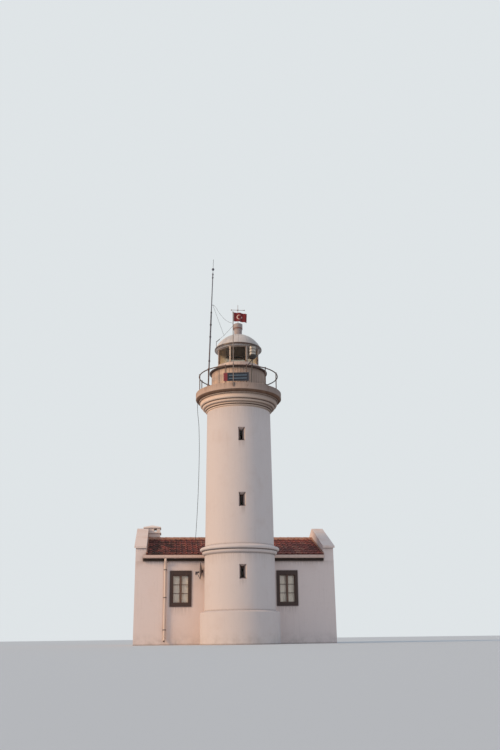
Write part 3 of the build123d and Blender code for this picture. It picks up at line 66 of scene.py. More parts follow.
# Tower
BELT_FOOT = 3.630
SLOT_FEET = (8.35, 5.52, 2.55)
SHAFT_TOP = 9.900
SHAFT_FOOT_R = 1.478
DECK_Z = 10.810
FASCIA_FOOT = 10.525
RAIL_R = 1.790
POST_COUNT = 12
POST_START = 7          # degrees from the front, to the right
POST_PLATE_T = 0.012
DRUM_R = 1.220
DRUM_SEAMS = 60
DRUM_TOP = 11.770
COPING_EDGE_FOOT = 11.750
COPING_TOP = 11.840
GLASS_TOP = 12.866
DOME_FOOT = 12.980
VENT_FOOT = 14.010
LIGHT_POLE_X = 0.467
LIGHT_POLE_Y = -1.803
LIGHT_STAY_HEAD_Z = 11.900
LIGHT_STAY_FOOT = (0.330, -1.190, 11.844)
VANE_ARM_Z = 14.990
VANE_ARM = 0.310

# Roof of the house: the plane that the tiles lie on
roof_low, roof_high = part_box("roof_front_sides")
ROOF_LEFT = roof_low.x
ROOF_RIGHT = roof_high.x
EAVE_Y = 1.050
EAVE_TOP = 3.770
ROOF_RISE = 0.338       # rise over run
RIDGE_Y = roof_high.y
RIDGE_Z = EAVE_TOP + (RIDGE_Y - EAVE_Y) * ROOF_RISE
PITCH = math.atan(ROOF_RISE)
SLOPE = (RIDGE_Y - EAVE_Y) / math.cos(PITCH)

# Tiles
COLUMNS = 32
COURSES = 8
TILE_W = (ROOF_RIGHT - ROOF_LEFT) / COLUMNS
EAVE_OVER = 0.035       # tiles beyond the edge of the boarding
GAUGE = (SLOPE + EAVE_OVER) / COURSES
TILE_LAP = 0.055
TILE_T = 0.013
TILE_LIFT = 0.024       # foot of a tile above the head of the one below
TILE_SECTION = (0.000, 0.024, 0.032, 0.024, 0.000, 0.002, 0.013, 0.002, 0.000, 0.000, 0.003)
RIDGE_TILE_R = 0.125
RIDGE_TILE_L = 0.42
RIDGE_TILE_STEP = 0.385

# Walls and windows of the house
FRONT_FACE = 1.200
BACK_FACE = 6.560
EAVE_BOARD_FOOT = 3.500
GABLE_FRONT_TOP = 4.090
WINDOW_PLACES = (       # middle, wall face, side
    (-2.483, FRONT_FACE, -1), (2.200, FRONT_FACE, -1),
    (-2.483, BACK_FACE, 1), (2.483, BACK_FACE, 1),
)
WINDOW_W = 0.940
WINDOW_FOOT = 1.571
WINDOW_TOP = 3.080
CASING_W = 0.120
CASING_TOP = 0.184
CASING_FOOT = 0.144
INNER_W = WINDOW_W - 2 * CASING_W
INNER_FOOT = WINDOW_FOOT + CASING_FOOT
INNER_H = WINDOW_TOP - CASING_TOP - INNER_FOOT
LEAF_RAIL = 0.034
MEETING_W = 0.092
SASH_D = 0.055
SASH_IN = 0.032         # face of the sash behind the face of the wall
BAR_W = 0.026
CURTAIN_BACK = 0.040
CURTAIN_T = 0.022
CURTAIN_SIDE = 0.018
CURTAIN_PART = 0.024
CURTAIN_FOOT = 1.601
ROD_Z = 3.035
ROD_R = 0.012

# Back door
DOOR_X = -0.075
DOOR_FOOT = 0.450
LEAF_HALF = 0.380

# Feed of the dish
FEED_MOUTH_X = -1.742
FEED_Y = 0.820
FEED_Z = 2.986

# Gutters and downpipe
GUTTER_W = 0.126
GUTTER_FOOT = 3.607
GUTTER_FRONT = 3.742
GUTTER_BACK = 3.700
GUTTER_BEVEL = 0.030
BOARD_OUT = 0.110
PIPE_X = -3.160
PIPE_R = 0.050
PIPE_GAP = 0.035

# Flag and sign
FLAG_FLAT = (0.640, 0.430)
SIGN_W = 1.115
SIGN_TURN = 8           # degrees


def light_of(colour):
    """Turns a colour given as three numbers, 0 to 255, into amounts of light; others stay as they are."""
    if not isinstance(colour, tuple) or len(colour) > 3:
        return colour
    shares = [c / 255 for c in colour]
    return tuple(c / 12.92 if c < 0.04 else ((c + 0.055) / 1.055) ** 2.4 for c in shares) + (1.0,)


def brightened(colour, factor):
    return tuple(factor * c for c in light_of(colour)[:3]) + (1.0,)


# Shader nodes


def sign_for(operation):
    """A method that lets one of Python's signs add a maths node."""
    def method(self, *others):
        return self.calc(operation, *others)
    return method


class Value:
    """What a socket gives at each point; arithmetic on it adds the nodes that work it out."""

    __add__ = sign_for("ADD")
    __sub__ = sign_for("SUBTRACT")
    __mul__ = sign_for("MULTIPLY")
    __truediv__ = sign_for("DIVIDE")
    __gt__ = sign_for("GREATER_THAN")
    __lt__ = sign_for("LESS_THAN")
    __abs__ = sign_for("ABSOLUTE")

    def __init__(self, wiring, socket):
        self.wiring = wiring
        self.socket = socket

    def __rsub__(self, other):
        return self.wiring.calc("SUBTRACT", other, self)

    def calc(self, operation, *others, clamp=False):
        return self.wiring.calc(operation, self, *others, clamp=clamp)

    def eased(self, low, high, start=0.0, end=1.0):
        """Eases from start to end while the value goes from low to high."""
        feeds = {"Value": self, "From Min": low, "From Max": high, "To Min": start, "To Max": end}
        return self.wiring.value("Result", "MapRange", feeds, interpolation_type="SMOOTHSTEP")

    def beside(self, output):
        """Another output of the same node."""
        return Value(self.wiring, self.socket.node.outputs[output])


class Wiring:
    """Adds nodes to a shader tree."""

    def __init__(self, tree):
        self.tree = tree

    def feed(self, sockets, feeds):
        """Feeds sockets, by name or number, with values or with plain numbers and colours."""
        for key, value in feeds.items():
            if isinstance(value, Value):
                self.tree.links.new(value.socket, sockets[key])
            else:
                sockets[key].default_value = value

    def node(self, kind, feeds=(), **settings):
        """Adds a node, sets its options, feeds its inputs and gives its outputs."""
        made = self.tree.nodes.new("ShaderNode" + kind)
        for name, value in settings.items():
            setattr(made, name, value)
        self.feed(made.inputs, dict(feeds))
        return made.outputs

    def value(self, output, kind, feeds=(), **settings):
        """Adds a node and gives one of its outputs."""
        return Value(self, self.node(kind, feeds, **settings)[output])

    def calc(self, operation, *values, clamp=False):
        return self.value(0, "Math", enumerate(values), operation=operation, use_clamp=clamp)

    def mixed(self, amount, first, second):
        """Blends two colours by an amount."""
        return self.value(2, "Mix", {0: amount, 6: light_of(first), 7: light_of(second)}, data_type="RGBA")

    def vector(self, x, y, z):
        return self.value("Vector", "CombineXYZ", {"X": x, "Y": y, "Z": z})

    def parts(self, vector):
        """X, Y and Z of a vector."""
        return [Value(self, part) for part in self.node("SeparateXYZ", {"Vector": vector})]

    def object_place(self):
        return self.value("Object", "TexCoord")

    def place(self):
        """X, Y and Z of a point in the frame."""
        return self.parts(self.object_place())

    def stretched(self, size):
        """The place counted in pieces of a size, which may differ along X, Y and Z."""
        return self.value("Vector", "VectorMath", {0: self.object_place(), 1: size}, operation="DIVIDE")

    def noise(self, vector, detail, roughness):
        feeds = {"Vector": vector, "Scale": 1.0, "Detail": detail, "Roughness": roughness}
        return self.value("Fac", "TexNoise", feeds)

    def cloud(self, wide, high=None, detail=3, roughness=0.5):
        """Noise whose lumps are so wide, and as high unless another height is given."""
        size = (wide, wide, wide if high is None else high)
        if isinstance(wide, Value):
            size = self.vector(*size)
        return self.noise(self.stretched(size), detail, roughness)

    def effect(self, group, output="Mask", **values):
        """Places a node group with its own values and gives one of its outputs."""
        return self.value(output, "Group", values, node_tree=group)


def node_group(name, wire, outputs=("Mask",), **inputs):
    """A node group with named numbers in and out. wire() gets its wiring and its inputs, and
    gives its outputs by name."""
    tree = bpy.data.node_groups.new(name, "ShaderNodeTree")
    for label, value in inputs.items():
        socket = tree.interface.new_socket(label, in_out="INPUT", socket_type="NodeSocketFloat")
        socket.default_value = value
    for label in outputs:
        tree.interface.new_socket(label, in_out="OUTPUT", socket_type="NodeSocketFloat")
    wiring = Wiring(tree)
    given = tree.nodes.new("NodeGroupInput").outputs
    results = wire(wiring, *(Value(wiring, given[label]) for label in inputs))
    wiring.feed(tree.nodes.new("NodeGroupOutput").inputs, results)
    return tree


def rain_marks(g, width, length, cover):
    """Long marks that rain draws down a wall."""
    low = 0.75 - cover * 0.5
    return {"Mask": g.cloud(width, length, detail=4, roughness=0.6).eased(low, low + 0.18)}


def blotches(g, size, cover, softness):
    """Blotches of a size that cover a share of the surface."""
    low = 0.72 - cover * 0.44
    return {"Mask": g.cloud(size, detail=6, roughness=0.6).eased(low, low + softness)}


def under_edge(g, edge, reach, middle, half, back):
    """A mask that fades downwards from a height, over a width along X, on what lies before Back: for damp
    and dirt, and for painted shade under the drum's coping.
    """
    x, y, z = g.place()
    fade = z.eased(edge - reach, edge)
    below = (z < edge) * (y < back)
    beside = abs(x - middle).eased(half * 0.6, half, 1.0, 0.0)
    return {"Mask": fade * below * beside}


def above_foot(g, foot, reach):
    """Splashed dirt that fades upwards from a height."""
    height = g.place()[2]
    return {"Mask": height.eased(foot, foot + reach, 1.0, 0.0) * (height > foot)}


def dirt_and_shade_in_corners(g, reach, depth):
    """Darkens corners and grooves by ambient occlusion: painted shade, with the dirt that settles there."""
    open_share = g.value("AO", "AmbientOcclusion", {"Distance": reach}, samples=6)
    return {"Mask": (1.0 - open_share).calc("MULTIPLY", depth, clamp=True)}


def worn_edges(g, width, wear):
    """Paint rubbed off along the edges."""
    soft = g.value("Normal", "Bevel", {"Radius": width}, samples=4)
    face = g.value("Normal", "NewGeometry")
    likeness = g.value("Value", "VectorMath", {0: soft, 1: face}, operation="DOT_PRODUCT")
    chips = g.cloud(0.03, detail=5, roughness=0.65)
    rubbed = likeness.eased(0.995, 0.85) * chips.eased(0.42, 0.60)
    return {"Mask": rubbed.calc("MULTIPLY", wear, clamp=True)}


def trowelled(g, sweep, grain):
    """Relief of hand-laid plaster under many coats of limewash."""
    waves = g.cloud(sweep, detail=2, roughness=0.4)
    sand = g.cloud(grain, detail=3, roughness=0.6)
    return {"Height": waves + sand * 0.16}


def wood_grain(g, width, length):
    """Streaky grain of painted boards, along Z."""
    fibres = g.cloud(width, length, detail=5, roughness=0.65)
    return {"Mask": fibres.eased(0.38, 0.66), "Height": fibres}


def round_marks(g, count, start, width):
    """Upright marks at even steps around the tower's axis."""
    x, y, _ = g.place()
    turns = x.calc("ARCTAN2", y * -1.0) / (2 * math.pi)
    steps = (turns - start / 360.0) * count
    away = abs((steps + 10.5).calc("FRACT") - 0.5)
    radius = (abs(x).calc("POWER", 2.0) + abs(y).calc("POWER", 2.0)).calc("SQRT")
    distance = away * (radius * (2 * math.pi) / count)
    return {"Mask": distance.eased(0.0, width, 1.0, 0.0)}


def woven(g, across, along):
    """Threads of a cloth, counted along its own UV map."""
    u, v, _ = g.parts(g.value("UV", "UVMap"))
    warp = (u * across * math.pi).calc("SINE")
    weft = (v * along * math.pi).calc("SINE")
    threads = abs(warp).calc("MAXIMUM", abs(weft))
    return {"Mask": threads.eased(0.55, 0.9), "Height": threads}


STREAKS = node_group("rain streaks", rain_marks, Width=0.1, Length=2.0, Cover=0.4)
PATCHES = node_group("patches", blotches, Size=0.3, Cover=0.3, Softness=0.1)
UNDER_EDGE = node_group("under an edge", under_edge, Edge=1.0, Reach=0.5, Middle=0.0, Half=100.0, Back=100.0)
ABOVE_FOOT = node_group("above a foot", above_foot, Foot=0.0, Reach=0.5)
CREVICE_DIRT_AND_SHADE = node_group("crevice dirt and shade", dirt_and_shade_in_corners, Reach=0.1, Depth=1.0)
WORN_EDGES = node_group("worn edges", worn_edges, Width=0.006, Wear=1.0)
TROWEL = node_group("trowelled plaster", trowelled, ("Height",), Sweep=0.35, Grain=0.012)
WOOD_GRAIN = node_group("wood grain", wood_grain, ("Mask", "Height"), Width=0.012, Length=0.5)
ROUND_MARKS = node_group("marks around", round_marks, Count=12.0, Start=0.0, Width=0.05)
WEAVE = node_group("woven threads", woven, ("Mask", "Height"), Across=200.0, Along=300.0)


# Materials


class Coats(Wiring):
    """A material whose colour is laid on coat by coat."""

    def __init__(self, name, colour):
        self.material = bpy.data.materials.new(name)
        self.material.use_nodes = True
        super().__init__(self.material.node_tree)
        self.colour = light_of(colour)

    def patches(self, size, cover, softness):
        return self.effect(PATCHES, Size=size, Cover=cover, Softness=softness)

    def streaks(self, width, length, cover):
        return self.effect(STREAKS, Width=width, Length=length, Cover=cover)

    def crevices(self, reach, depth):
        return self.effect(CREVICE_DIRT_AND_SHADE, Reach=reach, Depth=depth)

    def shade_side(self, start, end):
        """Grows from 0 to 1 across the tower along X, towards the side away from the light, for painted
        shade.
        """
        return self.place()[0].eased(start, end)

    def cover(self, mask, coat):
        """Turns the colour into another where the mask is."""
        self.colour = self.mixed(mask, self.colour, coat)

    def stain(self, mask, coat, share):
        """Lays a stain over the colour where the mask is, by a share."""
        self.cover(mask * share, coat)

    def ready(self, roughness, height=None, relief=0.002, **plain):
        """Feeds the shader with the colour, a roughness, a relief and plain numbers."""
        if height is not None:
            bump = {"Height": height, "Distance": relief, "Strength": 1.0}
            plain["Normal"] = self.value("Normal", "Bump", bump)
        feeds = {name.replace("_", " "): value for name, value in plain.items()}
        feeds.update({"Base Color": self.colour, "Roughness": roughness})
        self.feed(self.tree.nodes["Principled BSDF"].inputs, feeds)
        return self.material


def mottled(name, first, second, size, softness=0.35):
    """Starts a material whose first two coats take turns in patches of a size."""
    m = Coats(name, first)
    m.cover(m.patches(size, 0.5, softness), second)
    return m


def limewashed(name, wash, warm, shade, damp_edges=(), foot_dirt=0.0,
               post_rust=0.0, groove_dirt_and_shade=0.62, groove_reach=0.07, undercut=None, painted_shade_side=0.0):
    """Plaster with many coats of limewash: mottled, streaked, darkened in its grooves by dirt and painted
    shade.
    Below the height undercut it is painted dark brown, for shade under the lip and mould,
    and a share of painted shade greys it towards +X, the side away from the light."""
    m = mottled(name, wash, warm, 0.9)
    m.stain(m.patches(0.16, 0.45, 0.3), shade, 0.22)
    m.stain(m.streaks(0.07, 1.6, 0.42), (150, 128, 112), 0.06)
    for edge, reach, share, middle, half, back in damp_edges:
        under = m.effect(UNDER_EDGE, Edge=edge, Reach=reach, Middle=middle, Half=half, Back=back)
        m.stain(under * m.streaks(0.045, 0.9, 0.75), (112, 90, 76), share)
    if foot_dirt:
        splash = m.effect(ABOVE_FOOT, Foot=-0.01, Reach=0.6)
        m.stain(splash * m.patches(0.30, 0.9, 0.5), (124, 104, 84), foot_dirt)
    # painted shade: greyer towards +X, the side away from the light
    if painted_shade_side:
        m.stain(m.shade_side(-1.1, 1.7), (108, 100, 100), painted_shade_side)
    # painted shade and mould under the fascia's lip: dark brown below the height undercut
    if undercut:
        lip = m.place()[2].eased(undercut - 0.006, undercut + 0.006, 1.0, 0.0)
        mould_and_shade = m.mixed(m.patches(0.35, 0.75, 0.35), (92, 64, 46), (118, 88, 68))
        m.stain(lip, mould_and_shade, 0.9)
    if post_rust:
        runs = m.effect(ROUND_MARKS, Count=POST_COUNT, Start=POST_START, Width=0.09)
        near_deck = m.effect(UNDER_EDGE, Edge=DECK_Z - 0.003, Reach=0.40)
        m.stain(runs * m.streaks(0.03, 0.2, 0.55) * near_deck, (96, 56, 34), post_rust)
    # painted shade and dirt in the grooves and corners, from ambient occlusion
    m.stain(m.crevices(groove_reach, 1.7), (78, 52, 38), groove_dirt_and_shade)
    relief = m.effect(TROWEL, "Height", Sweep=0.45, Grain=0.014)
    return m.ready(0.88, relief, 0.007, Specular_IOR_Level=0.25)


def clay(name, base, burnt, pale):
    """Fired clay: each tile has its own tone, with soot, lichen and moss, and painted shadow under each
    course and in the crevices.
    """
    m = Coats(name, base)
    x, y, _ = m.place()
    column = ((x - ROOF_LEFT) / TILE_W).calc("FLOOR")
    steps = (SLOPE + EAVE_OVER - abs(y - RIDGE_Y) / math.cos(PITCH)) / GAUGE
    course = steps.calc("FLOOR")
    side = (y < RIDGE_Y) * 50.0
    chance = m.value("Value", "TexWhiteNoise", {"Vector": m.vector(column, course, side)})
    m.cover(chance.eased(0.0, 1.0), burnt)
    m.stain(chance > 0.88, pale, 0.55)
    soot = m.noise(m.vector(x / 0.8, course, side), detail=3, roughness=0.6)
    m.stain(soot.eased(0.44, 0.60), (66, 38, 38), 0.5)
    # painted shadow: dark towards the head of each exposed tile, under the foot of the course above
    painted_shadow_under_lap = steps.calc("FRACT").eased(0.70, 0.98)
    m.stain(painted_shadow_under_lap, (44, 26, 26), 0.62)
    lichen = m.patches(0.05, 0.22, 0.08)
    m.stain(lichen, (150, 116, 84), 0.30)
    to_left = x.eased(ROOF_LEFT + 3.4, ROOF_LEFT + 0.3)
    moss = m.patches(0.42, 0.62, 0.1) * to_left
    m.stain(moss, (42, 36, 34), 0.82)
    # painted shade in the crevices between the tiles
    m.stain(m.crevices(0.03, 1.3), (34, 22, 20), 0.8)
    grain = m.cloud(0.012, detail=4, roughness=0.65)
    return m.ready(moss.eased(0.0, 1.0, 0.78, 0.95), grain, 0.003, Specular_IOR_Level=0.3)


def mortared(name):
    """Lime mortar at the ridge and verges, crumbled and stained by the clay."""
    m = Coats(name, (186, 142, 122))
    m.cover(m.patches(0.10, 0.6, 0.25), (140, 92, 74))
    m.stain(m.patches(0.25, 0.35, 0.12), (82, 54, 48), 0.5)
    return m.ready(0.95, m.cloud(0.02, detail=5, roughness=0.7), 0.008, Specular_IOR_Level=0.2)


def painted_wood(name, coat, worn, grime_and_shade, gloss=0.5):
    """Oil paint on boards: grain shows through, edges are rubbed, corners are darkened with grime and
    painted shade.
    """
    m = Coats(name, coat)
    grain = m.effect(WOOD_GRAIN, Width=0.010, Length=0.35)
    relief = grain.beside("Height")
    m.stain(grain, worn, 0.28)
    m.stain(m.patches(0.35, 0.5, 0.3), worn, 0.22)
    m.stain(m.effect(WORN_EDGES, Width=0.008, Wear=0.8), (146, 116, 92), 0.6)
    # grime and painted shade in corners and grooves
    m.stain(m.crevices(0.03, 1.2), grime_and_shade, 0.7)
    return m.ready(relief.eased(0.3, 0.7, gloss, gloss + 0.2), relief, 0.0015)


def painted_metal(name, coat, faded, rust_share, rust_size=0.12):
    """Painted sheet or bar: faded coat, rust in blotches, at edges and in corners."""
    m = mottled(name, coat, faded, 0.4)
    m.stain(m.streaks(0.035, 0.6, 0.4), (118, 98, 82), 0.18)
    blots = m.patches(rust_size, rust_share, 0.06)
    edges = m.effect(WORN_EDGES, Width=0.006, Wear=rust_share * 2.2)
    corners = m.crevices(0.04, rust_share * 3.0)
    rust = blots.calc("MAXIMUM", edges.calc("MAXIMUM", corners))
    rusty = m.mixed(m.patches(0.03, 0.5, 0.2), (92, 52, 32), (132, 78, 46))
    m.stain(rust, rusty, 0.85)
    height = m.cloud(0.05) * 0.3 + rust * 0.6
    return m.ready(rust.eased(0.0, 1.0, 0.45, 0.85), height, 0.0015)


def drum_sheet(name):
    """Pale painted sheet of the drum: rust runs beside the seams and up from the deck."""
    m = mottled(name, (214, 184, 162), (194, 162, 142), 0.5)
    seams = m.effect(ROUND_MARKS, Count=DRUM_SEAMS, Width=0.022)
    m.stain(seams * m.streaks(0.05, 0.45, 0.85), (112, 74, 54), 0.6)
    m.stain(seams, (120, 98, 86), 0.2)
    m.stain(m.streaks(0.12, 1.2, 0.5), (140, 104, 84), 0.16)
    # painted shade: greyer towards +X, the side away from the light
    m.stain(m.shade_side(-0.8, 0.9), (112, 96, 92), 0.52)
    m.stain(m.effect(ABOVE_FOOT, Foot=DECK_Z - 0.01, Reach=0.3), (118, 86, 66), 0.5)
    # painted shade under the coping: darker towards the top of the drum
    m.stain(m.effect(UNDER_EDGE, Edge=DRUM_TOP, Reach=0.22), (96, 68, 54), 0.45)
    return m.ready(0.55, m.cloud(0.09, 0.3), 0.004)


def sill_metal(name):
    """Pale painted metal of the drum's coping, whose edge is dark and rusty."""
    pale = (206, 184, 172)
    m = mottled(name, pale, brightened(pale, 0.82), 0.35)
    m.stain(m.streaks(0.05, 0.5, 0.5), (140, 112, 96), 0.3)
    blots = m.patches(0.09, 0.25, 0.06)
    m.stain(blots, (120, 72, 46), 0.6)
    z = m.place()[2]
    edge = (z > COPING_EDGE_FOOT) * (z < COPING_TOP - 0.008)
    m.cover(edge, m.mixed(m.patches(0.07, 0.5, 0.2), (62, 44, 38), (104, 66, 46)))
    # painted shade in its corners
    m.stain(m.crevices(0.05, 1.2), (76, 54, 42), 0.6)
    return m.ready(blots.eased(0.0, 1.0, 0.5, 0.85), m.cloud(0.06, detail=4), 0.002)


def dome_sheet(name):
    """Lapped sheets of the lantern roof, with a dark rusty rim at the eave."""
    m = mottled(name, (206, 196, 190), (186, 180, 178), 0.6)
    laps = m.effect(ROUND_MARKS, Count=16.0, Start=-4.0, Width=0.012)
    m.stain(laps, (128, 112, 104), 0.5)
    m.stain(m.streaks(0.06, 0.5, 0.45), (146, 124, 110), 0.3)
    # painted shade: greyer towards +X, the side away from the light
    m.stain(m.shade_side(-0.1, 0.7), (112, 104, 102), 0.5)
    z = m.place()[2]
    rim = (z < DOME_FOOT + 0.012) * (z > GLASS_TOP + 0.047)
    m.cover(rim, m.mixed(m.patches(0.08, 0.5, 0.2), (70, 50, 42), (108, 68, 46)))
    # painted shade in its corners and grooves
    m.stain(m.crevices(0.05, 1.0), (70, 54, 44), 0.5)
    return m.ready(0.45, m.cloud(0.12) * 0.4 + laps * 0.8, 0.004)


def vent_sheet(name):
    """Vent with a pale weathered coat and a rust band between neck and head."""
    m = mottled(name, (166, 150, 146), (112, 114, 110), 0.2, softness=0.3)
    m.stain(m.effect(UNDER_EDGE, Edge=VENT_FOOT + 0.05, Reach=0.12), (120, 62, 44), 0.9)
    m.stain(m.patches(0.10, 0.35, 0.08), (112, 72, 52), 0.55)
    return m.ready(0.6, m.cloud(0.05, detail=4), 0.003)


def mast_steel(name):
    """Grey painted mast, rusting on its lower third."""
    m = Coats(name, (96, 96, 106))
    m.cover(m.streaks(2.0, 0.16, 0.55), (60, 58, 64))
    low = m.place()[2].eased(13.4, 11.2)
    m.stain(low * m.patches(0.12, 0.6, 0.15), (124, 84, 62), 0.8)
    m.stain(low, (140, 124, 116), 0.35)
    return m.ready(0.6, m.cloud(0.03, detail=4), 0.002, Metallic=0.15)


def window_glass(name, tint, lets_through, dust=0.0):
    """Clear old glass, slightly wavy, that lets a share of the light through to what is behind it.
    Dust frosts it towards its left and right sides."""
    m = Coats(name, tint)
    roughness = 0.03
    if dust:
        aside = abs(m.place()[0]).eased(0.42, 0.75)
        film = aside * m.streaks(0.12, 0.5, 0.9)
        m.cover(film, (232, 206, 176))
        roughness = film.eased(0.0, 1.0, roughness, dust)
    shadow = m.value("Is Shadow Ray", "LightPath")
    return m.ready(roughness, m.cloud(0.25, detail=2), 0.0008,
                   Transmission_Weight=1.0, IOR=1.2, Alpha=1.0 - shadow * lets_through)


def lens_glass(name):
    """Ribbed clear drum around a bright metal lamp, drawn as opaque silver, with painted shade in upright
    streaks and painted reflection in dark belts.
    """
    m = Coats(name, (184, 176, 168))
    # painted shade: dark upright streaks down the ribs
    m.cover(m.streaks(0.03, 0.3, 0.5), (116, 106, 100))
    z = m.place()[2]
    ribs = (z * (2 * math.pi / 0.028)).calc("SINE")
    painted_reflection_belts = (z * (2 * math.pi / 0.14)).calc("SINE")
    # painted reflection: dark belts across the glass
    m.stain(painted_reflection_belts.eased(-0.5, 0.6), (88, 78, 72), 0.65)
    return m.ready(0.3, ribs, 0.0015, Metallic=0.6)


def lace(name):
    """Thin white lace, more open between its threads and flowers."""
    m = mottled(name, (255, 246, 236), (250, 236, 222), 0.2, softness=0.3)
    threads = m.effect(WEAVE, Across=70.0, Along=220.0)
    flowers = m.value("Distance", "TexVoronoi", {"Vector": m.value("UV", "UVMap"), "Scale": 9.0})
    closed = threads.calc("MAXIMUM", flowers.eased(0.30, 0.46, 1.0, 0.0))
    return m.ready(0.9, threads.beside("Height"), 0.0006,
                   Alpha=closed.eased(0.0, 1.0, 0.88, 1.0), Sheen_Weight=0.2)


def disc(from_x, from_y, radius):
    """1 within a radius of a point, 0 outside."""
    return (from_x * from_x + from_y * from_y).calc("SQRT") < radius


def star(from_x, from_y, radius):
    """1 inside a five-pointed star: a point that at least four of its five edges lie beyond."""
    edge = radius * math.cos(math.radians(72))
    inside = 0.0
    for k in range(5):
        turn = math.radians(36 + 72 * k) + math.pi
        reach = from_x * math.cos(turn) + from_y * math.sin(turn)
        inside = (reach < edge) + inside
    return inside > 3.5


def flag_cloth(name):
    """Red bunting with a pale crescent and star."""
    m = mottled(name, (118, 20, 26), (94, 22, 28), 0.15, softness=0.3)
    u, v, _ = m.parts(m.value("UV", "UVMap"))
    length, height = FLAG_FLAT
    across = u * length
    up = v * height - height / 2
    outer = disc(across - 0.580 * height, up, 0.26 * height)
    inner = disc(across - 0.645 * height, up, 0.205 * height)
    crescent = outer.calc("SUBTRACT", inner, clamp=True)
    points = star(across - 0.91 * height, up, 0.135 * height)
    m.cover(crescent.calc("MAXIMUM", points), (206, 176, 164))
    hem = u.eased(0.035, 0.028)
    m.stain(hem, (206, 190, 178), 0.8)
    threads = m.effect(WEAVE, "Height", Across=420.0, Along=280.0)
    return m.ready(0.85, threads, 0.0004, Sheen_Weight=0.15)


def sign_paint(name):
    """Dark blue sign with a red left end, a pale line around it and two pale stripes."""
    low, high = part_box("sign_board")
    middle = (low + high) / 2
    half_w = SIGN_W / 2
    half_h = (high.z - low.z) / 2
    m = mottled(name, (14, 20, 36), (20, 28, 45), 0.2, softness=0.3)
    feeds = {"Vector": m.object_place(), "Location": (-middle.x, 0, -middle.z)}
    x, _, z = m.parts(m.value("Vector", "Mapping", feeds))
    across = x / math.cos(math.radians(SIGN_TURN))
    m.cover(across < 0.17 - half_w, (132, 40, 42))
    from_edge = (half_w - abs(across)).calc("MINIMUM", half_h - abs(z))
    line = (from_edge > 0.018) * (from_edge < 0.026)
    m.stain(line, (170, 184, 196), 0.25)
    field = (across > 0.24 - half_w) * (across < half_w - 0.09)
    stripes = field * (abs(abs(z) - 0.070) < 0.016)
    m.stain(stripes, (150, 178, 198), 0.42)
    m.stain(m.streaks(0.03, 0.25, 0.4), (140, 126, 116), 0.15)
    return m.ready(0.4, m.cloud(0.01, detail=2), 0.0004)


def wire_jacket(name, tone):
    m = Coats(name, tone)
    m.cover(m.patches(0.06, 0.4, 0.2), brightened(tone, 1.6))
    return m.ready(0.65, m.cloud(0.008, 0.02, detail=2), 0.0008)


def stone_floor(name):
    m = mottled(name, (150, 140, 128), (120, 112, 104), 0.4, softness=0.3)
    feeds = {"Vector": m.stretched((0.5, 0.5, 0.5)), "Mortar Size": 0.012}
    m.cover(m.value("Fac", "TexBrick", feeds), (84, 78, 72))
    return m.ready(0.8, m.cloud(0.02, detail=4), 0.003)


# Damp edges: height, reach, share, then the middle and half of the width, and how far back
ALL_ROUND = (0.0, 100.0, 100.0)
FRONT_ONLY = (0.0, 100.0, FRONT_FACE + 0.05)
TOWER_STAINS = [(SHAFT_TOP, 0.8, 0.10, *ALL_ROUND), (BELT_FOOT, 0.6, 0.14, *ALL_ROUND)]
TOWER_STAINS += [(foot, 0.45, 0.26, 0.0, 0.17, 0.0) for foot in SLOT_FEET]
HOUSE_STAINS = [(EAVE_BOARD_FOOT, 0.30, 0.16, *FRONT_ONLY), (GABLE_FRONT_TOP, 0.3, 0.18, *FRONT_ONLY)]
HOUSE_STAINS += [(WINDOW_FOOT, 0.45, 0.22, place[0], 0.52, 100.0) for place in WINDOW_PLACES[:2]]
TOWER_WASH = limewashed(
    "tower_limewash", (212, 199, 194), (206, 190, 183), (192, 179, 174),
    damp_edges=TOWER_STAINS, foot_dirt=0.3, groove_dirt_and_shade=0.75,
)
HOUSE_WASH = limewashed(
    "house_limewash", (235, 216, 208), (229, 206, 195), (212, 188, 177),
    damp_edges=HOUSE_STAINS, foot_dirt=0.35,
)
GALLERY_WASH = limewashed(
    "gallery_limewash", (240, 212, 191), (228, 194, 170), (198, 164, 141),
    groove_dirt_and_shade=1.0, groove_reach=0.14, painted_shade_side=0.62,
)
SLAB_WASH = limewashed(
    "gallery_slab_limewash", (198, 170, 152), (176, 146, 128), (146, 116, 98),
    damp_edges=[(DECK_Z - 0.01, 0.30, 0.3, *ALL_ROUND)],
    post_rust=0.9, groove_dirt_and_shade=1.0, groove_reach=0.12, undercut=FASCIA_FOOT, painted_shade_side=0.62,
)
COPING_WASH = limewashed("coping_limewash", (234, 214, 204), (224, 190, 174), (196, 162, 146))
CHIMNEY_WASH = limewashed(
    "chimney_limewash", (246, 230, 220), (240, 214, 200), (218, 190, 176), groove_dirt_and_shade=0.4)
CLAY = clay("clay_tile", (158, 80, 66), (112, 54, 48), (186, 122, 100))
RIDGE_CLAY = mortared("ridge_tile_clay")
MORTAR = mortared("ridge_mortar")
SASH_WOOD = painted_wood("sash_brown", (112, 84, 70), (138, 108, 90), (44, 30, 24))
GUTTER_PAINT = painted_metal("gutter_cream", (218, 188, 174), (202, 166, 150), 0.16)
FITTING_IRON = painted_metal("dark_iron", (58, 50, 48), (76, 64, 58), 0.30, rust_size=0.03)
DRUM_SHEET = drum_sheet("drum_sheet")
VENT_SHEET = vent_sheet("vent_sheet")
DISH_METAL = painted_metal("dish_grey", (84, 72, 74), (64, 56, 60), 0.15, rust_size=0.05)
LACE = lace("lace")
FLAG_CLOTH = flag_cloth("flag_bunting")

